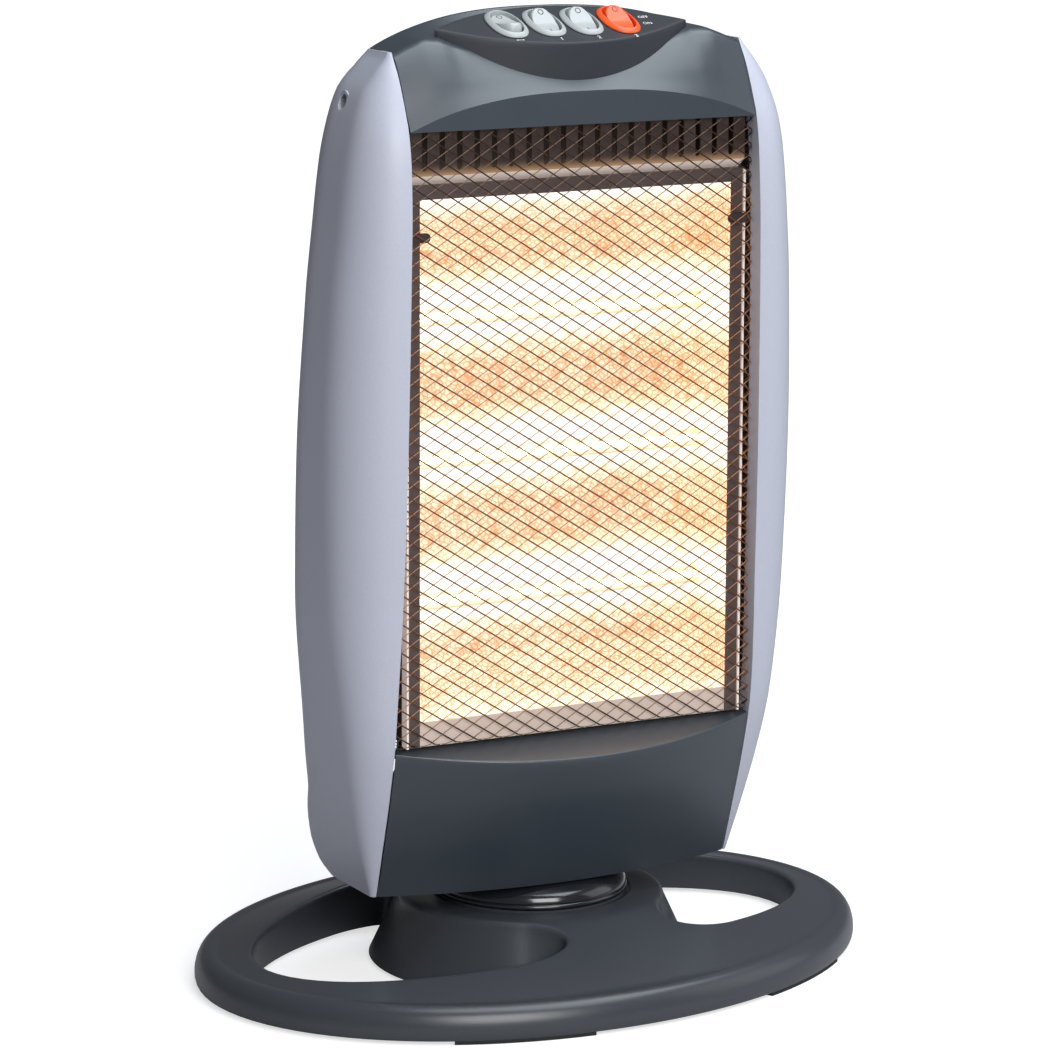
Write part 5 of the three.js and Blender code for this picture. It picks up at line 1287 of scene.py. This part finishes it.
# %% Marks on the panel
def word_points(word, size):
    """A word as flat points and faces, its middle at the origin."""
    curve = bpy.data.curves.new("word", "FONT")
    curve.body = word
    curve.size = size
    curve.align_x, curve.align_y = "CENTER", "CENTER"
    curve.resolution_u = 4
    obj = bpy.data.objects.new("word", curve)
    bpy.context.scene.collection.objects.link(obj)
    mesh = bpy.data.meshes.new_from_object(obj.evaluated_get(bpy.context.evaluated_depsgraph_get()))
    points = np.array([v.co[:] for v in mesh.vertices])
    faces = [tuple(f.vertices) for f in mesh.polygons]
    bpy.data.objects.remove(obj)
    return points, faces


def swing_arrow():
    """A short bar with a point at either end."""
    right = [(1.5, .18), (1.5, .7), (2.4, 0), (1.5, -.7), (1.5, -.18)]
    left = [(-1.5, -.18), (-1.5, -.7), (-2.4, 0), (-1.5, .7), (-1.5, .18)]
    outline = left[2:] + right + left[:2]
    return np.array([(x, y, 0) for x, y in outline]), [tuple(range(len(outline)))[::-1]]


def panel_marks():
    """The arrow and the numbers in front of the switches, and ON and OFF beside the last one."""
    below = SWITCH_V - BEZEL_V - 1.9
    last = switch_x[3]
    placed = [(swing_arrow(), switch_x[0], below)]
    placed += [(word_points(str(k), 4.4), switch_x[k] + 2, below - .6) for k in (1, 2, 3)]
    placed += [(word_points(word, 3.6), last + x, SWITCH_V + v) for word, x,
               v in (("ON", 16, -4), ("OFF", 17, 3.5))]
    parts = [(on_panel(xyz(p[:, 0] + x, p[:, 1] + v, .05)), f) for (p, f), x, v in placed]
    return tidy(new_object("panel_marks", *merge_meshes(parts)), 60, recalc=False)


dress(panel_marks(), mark_plastic, "head")

# %% [markdown]
# ## Lower fascia
# A bowed apron below the guard. Its upper edge rolls into a shelf that the guard's foot stands behind.

# %% Lower fascia
SHELF_Z, SHELF_BOW, SHELF_DROP, SHELF_BACK = 139.2, 28.0, 7.0, 7.0
SHELF_SEAM_Y, SKIRT_BOW = -51.5, 19.0
SHELF_ROUND, SHELF_TURN = 1.2, .045


def lower_fascia():
    """The apron, its rounded upper edge, and the shelf behind the edge."""
    c = np.linspace(-1, 1, 81)
    edge_z = SHELF_Z - SHELF_ROUND - SHELF_DROP * (1 - c ** 2)

    def apron(t):
        z = lerp(HEAD_FLOOR, edge_z, t)
        bow = lerp(SKIRT_BOW, SHELF_BOW, t) * (1 - c ** 2)
        return xyz(c * (seam_x(z) - SEAM_SHADOW), np.maximum(seam_y(z), SHELF_SEAM_Y) - bow, z)

    rows = [apron(t) for t in np.linspace(0, .975, 30)]
    low, edge = rows[-1], apron(1.0)
    back = xyz(edge[:, 0], SHELF_SEAM_Y + SHELF_BACK, SHELF_Z)
    inward = lerp(edge, back, SHELF_TURN)
    for turn in np.linspace(0, np.pi / 2, 6)[1:]:
        rows.append(low + (edge - low) * math.sin(turn) + (inward - edge) * (1 - math.cos(turn)))
    rows += [lerp(edge, back, t) for t in np.linspace(SHELF_TURN, 1, 14)[1:]]
    grid = np.array(rows)
    obj = new_object("lower_fascia_skin", grid.reshape(-1, 3), grid_faces(*grid.shape[:2]))
    tidy(obj, 40, recalc=False)
    thicken(obj, WALL, even=False)
    shade(obj, 45)
    return obj


apron = lower_fascia()
dress(apron, fascia_plastic, "head", "lower_fascia")

# %% [markdown]
# ## Wire guard
# The guard is one sheet of slit and stretched metal: diamonds in two families of strands. Its sides and its
# foot are folded back. Each strand is drawn flat, then folded: past the fold line its run goes backwards.

# %% Wire guard
GUARD_BOTTOM = SHELF_Z + 1.6
GUARD_TOP = BAND_BOTTOM - GAP
GUARD_HIGH = GUARD_TOP - GUARD_BOTTOM
GUARD_TOP_Y = -58.8
GUARD_TILT = math.radians(1.04)
GUARD_INSET = .9
PITCH_X, PITCH_Z = 12.5, 7.85
SLOPE = PITCH_Z / PITCH_X
STRAND_REACH, FAMILY_REACH, STRAND_WAVE = 108, 120, .22
FOLD = 1.6
RETURN = 9.0


def guard_half(v):
    """Half width of the flat front at a height above its foot."""
    return seam_x(GUARD_BOTTOM + np.clip(v, 0, GUARD_HIGH)) - GUARD_INSET


def fold(past):
    """How far out and how far back a run goes that is past the fold line: a small arc, then straight back."""
    arc = np.clip(past, 0, FOLD * np.pi / 2)
    rest = np.maximum(past - FOLD * np.pi / 2, 0)
    return FOLD * np.sin(arc / FOLD), FOLD * (1 - np.cos(arc / FOLD)) + rest


def fold_guard(u, v):
    """A flat place on the sheet, u across from the middle and v up from the foot, to the folded sheet."""
    flat = guard_half(v) - FOLD
    over_u, back_u = fold(np.maximum(np.abs(u) - flat, 0))
    over_v, back_v = fold(np.maximum(-v + FOLD, 0))
    x = np.sign(u) * (np.minimum(np.abs(u), flat) + over_u)
    y = np.maximum(back_u, back_v)
    low = np.maximum(v, FOLD) - over_v - GUARD_HIGH
    c, s = math.cos(GUARD_TILT), math.sin(GUARD_TILT)
    return xyz(x, y * c - low * s + GUARD_TOP_Y, y * s + low * c + GUARD_TOP)


def unit(vectors):
    return vectors / np.maximum(np.linalg.norm(vectors, axis=1, keepdims=True), 1e-9)


def strand(lean, rise, wide, thick, sides=6):
    """One strand across the sheet, with a slight wave at each crossing, as a thin tube of few faces."""
    reach = STRAND_REACH + RETURN
    u = np.arange(-reach, reach + .01, PITCH_X / 4)
    v = rise + lean * SLOPE * u
    keep = (v > -RETURN) & (v < GUARD_HIGH - .5) & (np.abs(u) < guard_half(v) + RETURN)
    if keep.sum() < 3:
        return None
    u, v = u[keep], v[keep]
    path = fold_guard(u, v)
    out = unit(np.cross(fold_guard(u + .1, v) - path, fold_guard(u, v + .1) - path))
    side = unit(np.cross(out, unit(np.gradient(path, axis=0))))
    wave = STRAND_WAVE * lean * np.cos(2 * np.pi * (2 * u / PITCH_X))[:, None] * out
    t = (np.arange(sides) * 2 * np.pi / sides)[None, :, None]
    round_it = wide / 2 * np.cos(t) * side[:, None], thick / 2 * np.sin(t) * out[:, None]
    return rings_mesh((path + wave)[:, None] + round_it[0] + round_it[1])


def strand_family(lean, wide, thick):
    span = FAMILY_REACH * SLOPE
    rises = np.arange(-span - RETURN, GUARD_HIGH + span, PITCH_Z)
    made = [strand(lean, rise, wide, thick) for rise in rises]
    return merge_meshes([m for m in made if m is not None])


for name, lean, wide, thick, finish in (("guard_falling_strands", -1, .80, .45, painted_shade_wire),
                                        ("guard_rising_strands", 1, .54, .38, painted_lit_wire)):
    strands = new_object(name, *strand_family(lean, wide, thick))
    strands.data.shade_smooth()
    dress(strands, finish, "head", "grille")
    print(name, "triangles:", sum(len(p.vertices) - 2 for p in strands.data.polygons))

# %% [markdown]
# ## Vent plate, end plates and reflector
# Behind the guard's top a dark plate has upright slots; a strip with a painted glow slopes back under it.

# %% Vent plate
VENT_Y, VENT_BOTTOM, VENT_TOP = -53.4, 447.0, 474.0
REFLECTOR_TOP, REFLECTOR_BOTTOM, REFLECTOR_FRONT = 440.0, 149.5, -50.0
REFLECTOR_HALF, REFLECTOR_DEEP = 94.5, -8.0
CASE_HALF, SHEET_T = 102.3, 1.2
PLATE_HALF = CASE_HALF - SHEET_T - GAP
PLATE_BACK, STRIP_BEND = -34.0, -45.0
SLOT_LOW, SLOT_HIGH, SLOT_HALF, SLOT_PITCH = 449.5, 471.5, 1.6, 10.25


def sheet_piece(name, profile, half, wall=SHEET_T, cols=2, flip=True):
    """A profile of depth and height carried straight across, with the thickness of a sheet."""
    y, z = (np.array(v, float)[:, None] for v in zip(*profile))
    g = xyz(np.linspace(-half, half, cols)[None, :], y, z)
    f = grid_faces(*g.shape[:2])
    obj = new_object(name, g.reshape(-1, 3), f[:, ::-1] if flip else f)
    tidy(obj, 30, recalc=False)
    return thicken(obj, wall)


def vent_slot(i):
    return stadium(i * SLOT_PITCH, (SLOT_LOW + SLOT_HIGH) / 2, SLOT_HALF, (SLOT_HIGH - SLOT_LOW) / 2,
                   VENT_Y - 3,
                   VENT_Y + 4)


plate = sheet_piece("vent_plate_sheet", [(VENT_Y, VENT_TOP), (VENT_Y, VENT_BOTTOM)], PLATE_HALF)
cut_with(plate, tidy(new_object("vent_cutter", *merge_meshes([vent_slot(i) for i in range(-9, 10)]))))
tidy(plate, 40)
dress(plate, vent_sheet, "head", "vent_plate")
top_shelf = sheet_piece("vent_plate_top", [(PLATE_BACK, VENT_TOP), (VENT_Y + 1.3, VENT_TOP)], PLATE_HALF)
dress(tidy(top_shelf, 40), brown_sheet, "head")
slope = [(VENT_Y, VENT_BOTTOM - .05), (STRIP_BEND, REFLECTOR_TOP + 1), (PLATE_BACK, REFLECTOR_TOP + 1)]
strip = sheet_piece("sloped_strip", slope, PLATE_HALF, wall=1.0)
dress(tidy(strip, 40), strip_painted_glow, "head")

# %% Reflector
FLANGE_Y, FLANGE_HIGH = REFLECTOR_FRONT - .6, 5.0
BAR_NEAR, BAR_FAR, BAR_SHEET = 94.0, 101.2, .5
BAR_TOP, BAR_LOW = REFLECTOR_TOP + 1.4, REFLECTOR_TOP - 5.6
FRAME_FOOT = REFLECTOR_BOTTOM - 9
EDGE_WIDE = 1.1


def reflector_profile():
    """Flange, sloping wall, a shallow trough behind each tube, sloping wall, flange."""
    top = TUBE_Z + 1.5 * TUBE_PITCH - 4
    low = TUBE_Z - 1.5 * TUBE_PITCH + 4
    z = np.linspace(top, low, 121)[1:-1]
    y = REFLECTOR_DEEP - 5 + 4 * np.cos(2 * np.pi * (z - TUBE_Z) / TUBE_PITCH)
    upper = [(REFLECTOR_FRONT, REFLECTOR_TOP), (REFLECTOR_FRONT, REFLECTOR_TOP - FLANGE_HIGH)]
    lower = [(REFLECTOR_FRONT, REFLECTOR_BOTTOM + FLANGE_HIGH), (REFLECTOR_FRONT, REFLECTOR_BOTTOM)]
    return upper + [(REFLECTOR_DEEP - 9, top)] + list(zip(y, z)) + [(REFLECTOR_DEEP - 9, low)] + lower


def side_box(name, near, far, y0, y1):
    """An upright bar beside the reflector, from the foot of its frame to the top."""
    return tidy(new_object(name, *box_mesh(*sorted((near, far)), y0, y1, FRAME_FOOT, BAR_TOP)))


mirror_sheet = sheet_piece("reflector_sheet", reflector_profile(), REFLECTOR_HALF, cols=12)
dress(tidy(mirror_sheet, 50), reflector_painted_glow, "head", "reflector")
corner = [(STRIP_BEND, BAR_TOP), (FLANGE_Y, BAR_TOP), (FLANGE_Y, BAR_LOW)]
top_bar = sheet_piece("reflector_top_bar", corner, BAR_FAR, wall=BAR_SHEET, flip=False)
dress(tidy(top_bar, 40), flange_sheet, "head")
upright = [(FLANGE_Y, REFLECTOR_BOTTOM + 4.4), (FLANGE_Y, FRAME_FOOT)]
low_bar = sheet_piece("reflector_low_bar", upright, BAR_FAR, wall=BAR_SHEET)
dress(tidy(low_bar, 40), edge_painted_glow, "head")
for name, side in (("left", -1), ("right", 1)):
    bar = side_box("reflector_side_bar_" + name, side * BAR_NEAR, side * BAR_FAR, FLANGE_Y - .8,
                   FLANGE_Y - .1)
    dress(bar, flange_sheet, "head")
    edge = side_box("case_front_edge_" + name, side * BAR_FAR, side * (BAR_FAR + EDGE_WIDE), FLANGE_Y - 2.0,
                    FLANGE_Y + 4)
    dress(edge, strip_painted_glow, "head")
    refinish("reflector_end_" + name, reflector_painted_glow)
    refinish("grille_clip_" + name, brown_sheet)
refinish("inner_case", case_sheet)

# %% [markdown]
# ## Tubes
# Each tube is quartz glass with a coil inside. The coil is a helix: a circle that moves along the tube.

# %% Tubes
TUBE_Y = -27.0
TUBE_RADIUS, TUBE_BORE = 5.0, 4.0
GLASS_END = 93.0
COIL_RADIUS, COIL_WIRE, COIL_PITCH = 1.7, .38, 1.9


def coil_mesh(z0, steps=12, sides=5):
    """A thin wire wound round the tube's axis."""
    length = 2 * (GLASS_END - 2)
    turns = length / COIL_PITCH
    a = np.linspace(0, turns * 2 * np.pi, int(turns * steps) + 1)
    x = -length / 2 + a / (2 * np.pi) * COIL_PITCH
    centre = xyz(x, TUBE_Y + COIL_RADIUS * np.cos(a), z0 + COIL_RADIUS * np.sin(a))[:, None]
    out = xyz(0 * a, np.cos(a), np.sin(a))[:, None]
    along = xyz(1 + 0 * a, 0, 0)[:, None]
    t = (np.arange(sides) * 2 * np.pi / sides)[None, :, None]
    return rings_mesh(centre + COIL_WIRE * (np.cos(t) * out + np.sin(t) * along))


def glass_tube(z0):
    """A pipe: outside, round its end, and back along the bore."""
    t = np.arange(40) * 2 * np.pi / 40
    stations = [(-GLASS_END, TUBE_BORE), (-GLASS_END, TUBE_RADIUS), (GLASS_END, TUBE_RADIUS),
                (GLASS_END, TUBE_BORE), (-GLASS_END, TUBE_BORE)]
    return rings_mesh([xyz(x + 0 * t, TUBE_Y + r * np.cos(t), z0 + r * np.sin(t)) for x, r in stations],
                      False, False)


for k, z0 in enumerate((TUBE_Z + TUBE_PITCH, TUBE_Z, TUBE_Z - TUBE_PITCH), start=1):
    coil = tidy(new_object(f"coil_{k}", *coil_mesh(z0)), 60)
    dress(coil, filament_finish, "head", f"tube_filament_{k}")
    glass = tidy(new_object(f"quartz_tube_{k}", *glass_tube(z0)), 40)
    dress(glass, glass_finish, "head", f"tube_glass_{k}")
    for side in ("left", "right"):
        refinish(f"tube_cap_{k}_{side}", cap_painted_glow)
print("tubes made")

# %% [markdown]
# ## Works inside the head and the base
# They show only from below or through a slot, so their measured solids stay and get true finishes.

# %% Inner works
for node, mat in (("floor_plate", rear_plastic), ("motor_bracket", zinc), ("swing_motor", zinc),
                  ("motor_crank", steel),
                  ("tip_switch_body", nylon), ("tip_switch_pendulum", steel), ("terminal_block", nylon),
                  ("thermal_cutout", ceramic)):
    refinish(node, mat)


# %% [markdown]
# ## Floor and light
# A pale floor and a white surround, with large soft lamps. The camera sees white, while the object is lit
# at a plain level.

# %% Stage
FLOOR_HALF = 30
NEAR_FLOOR, FAR_FLOOR, NEAR_LEVEL = .35, 1.5, .64
AMBIENT = .14


def backdrop_material():
    """Pale floor: it takes the shadow near the heater, and turns to plain white for the camera far off."""
    m, tree, shader, at = material("pale_floor")
    feed(tree, shader, {"Base Color": (.5, .5, .51), "Roughness": .9})
    out = next(n for n in tree.nodes if n.type == "OUTPUT_MATERIAL")
    away = tree.nodes.new("ShaderNodeVectorMath")
    away.operation = "LENGTH"
    tree.links.new(at, away.inputs[0])
    level = remap(tree, away.outputs["Value"], NEAR_FLOOR, FAR_FLOOR, NEAR_LEVEL, 1.0)
    light = tree.nodes.new("ShaderNodeLightPath")
    glow = tree.nodes.new("ShaderNodeEmission")
    feed(tree, glow, {"Color": (1, 1, 1), "Strength": times(tree, light.outputs["Is Camera Ray"], level)})
    add = tree.nodes.new("ShaderNodeAddShader")
    for source, socket in ((shader, add.inputs[0]), (glow, add.inputs[1]), (add, out.inputs["Surface"])):
        tree.links.new(source.outputs[0], socket)
    return m


corners = [(x * FLOOR_HALF, y * FLOOR_HALF, 0) for x, y in ((-1, -1), (1, -1), (1, 1), (-1, 1))]
floor_mesh = bpy.data.meshes.new("floor")
floor_mesh.from_pydata(corners, [], [(0, 1, 2, 3)])
floor = bpy.data.objects.new("floor", floor_mesh)
bpy.context.scene.collection.objects.link(floor)
floor.data.materials.append(backdrop_material())
world = bpy.data.worlds.new("surround")
bpy.context.scene.world = world
world.use_nodes = True
tree = world.node_tree
back = next(n for n in tree.nodes if n.type == "BACKGROUND")
path = tree.nodes.new("ShaderNodeLightPath")
seen = math_node(tree, "MAXIMUM", path.outputs["Is Camera Ray"], path.outputs["Is Transmission Ray"])
level = plus(tree, times(tree, seen, 1 - AMBIENT), AMBIENT)
tree.links.new(level, back.inputs["Strength"])
back.inputs["Color"].default_value = (1, 1, 1, 1)


def soft_lamp(name, place, aim, size, watts, colour=(1, 1, 1)):
    data = bpy.data.lights.new(name, "AREA")
    data.shape = "RECTANGLE"
    data.size, data.size_y = size
    data.energy = watts
    data.color = colour
    lamp = bpy.data.objects.new(name, data)
    lamp.location = place
    lamp.rotation_euler = (Vector(aim) - Vector(place)).to_track_quat("-Z", "Y").to_euler()
    bpy.context.scene.collection.objects.link(lamp)


soft_lamp("key", (-.7, -2.3, 1.35), (0, 0, .3), (1.4, 1.4), 50)
soft_lamp("fill", (1.9, -1.2, 1.0), (0, 0, .3), (1.6, 1.6), 8)
soft_lamp("top", (.45, -.35, 2.05), (0, 0, .45), (1.9, 1.5), 40, (.86, .94, 1.0))
bpy.context.scene.view_settings.view_transform = "Standard"
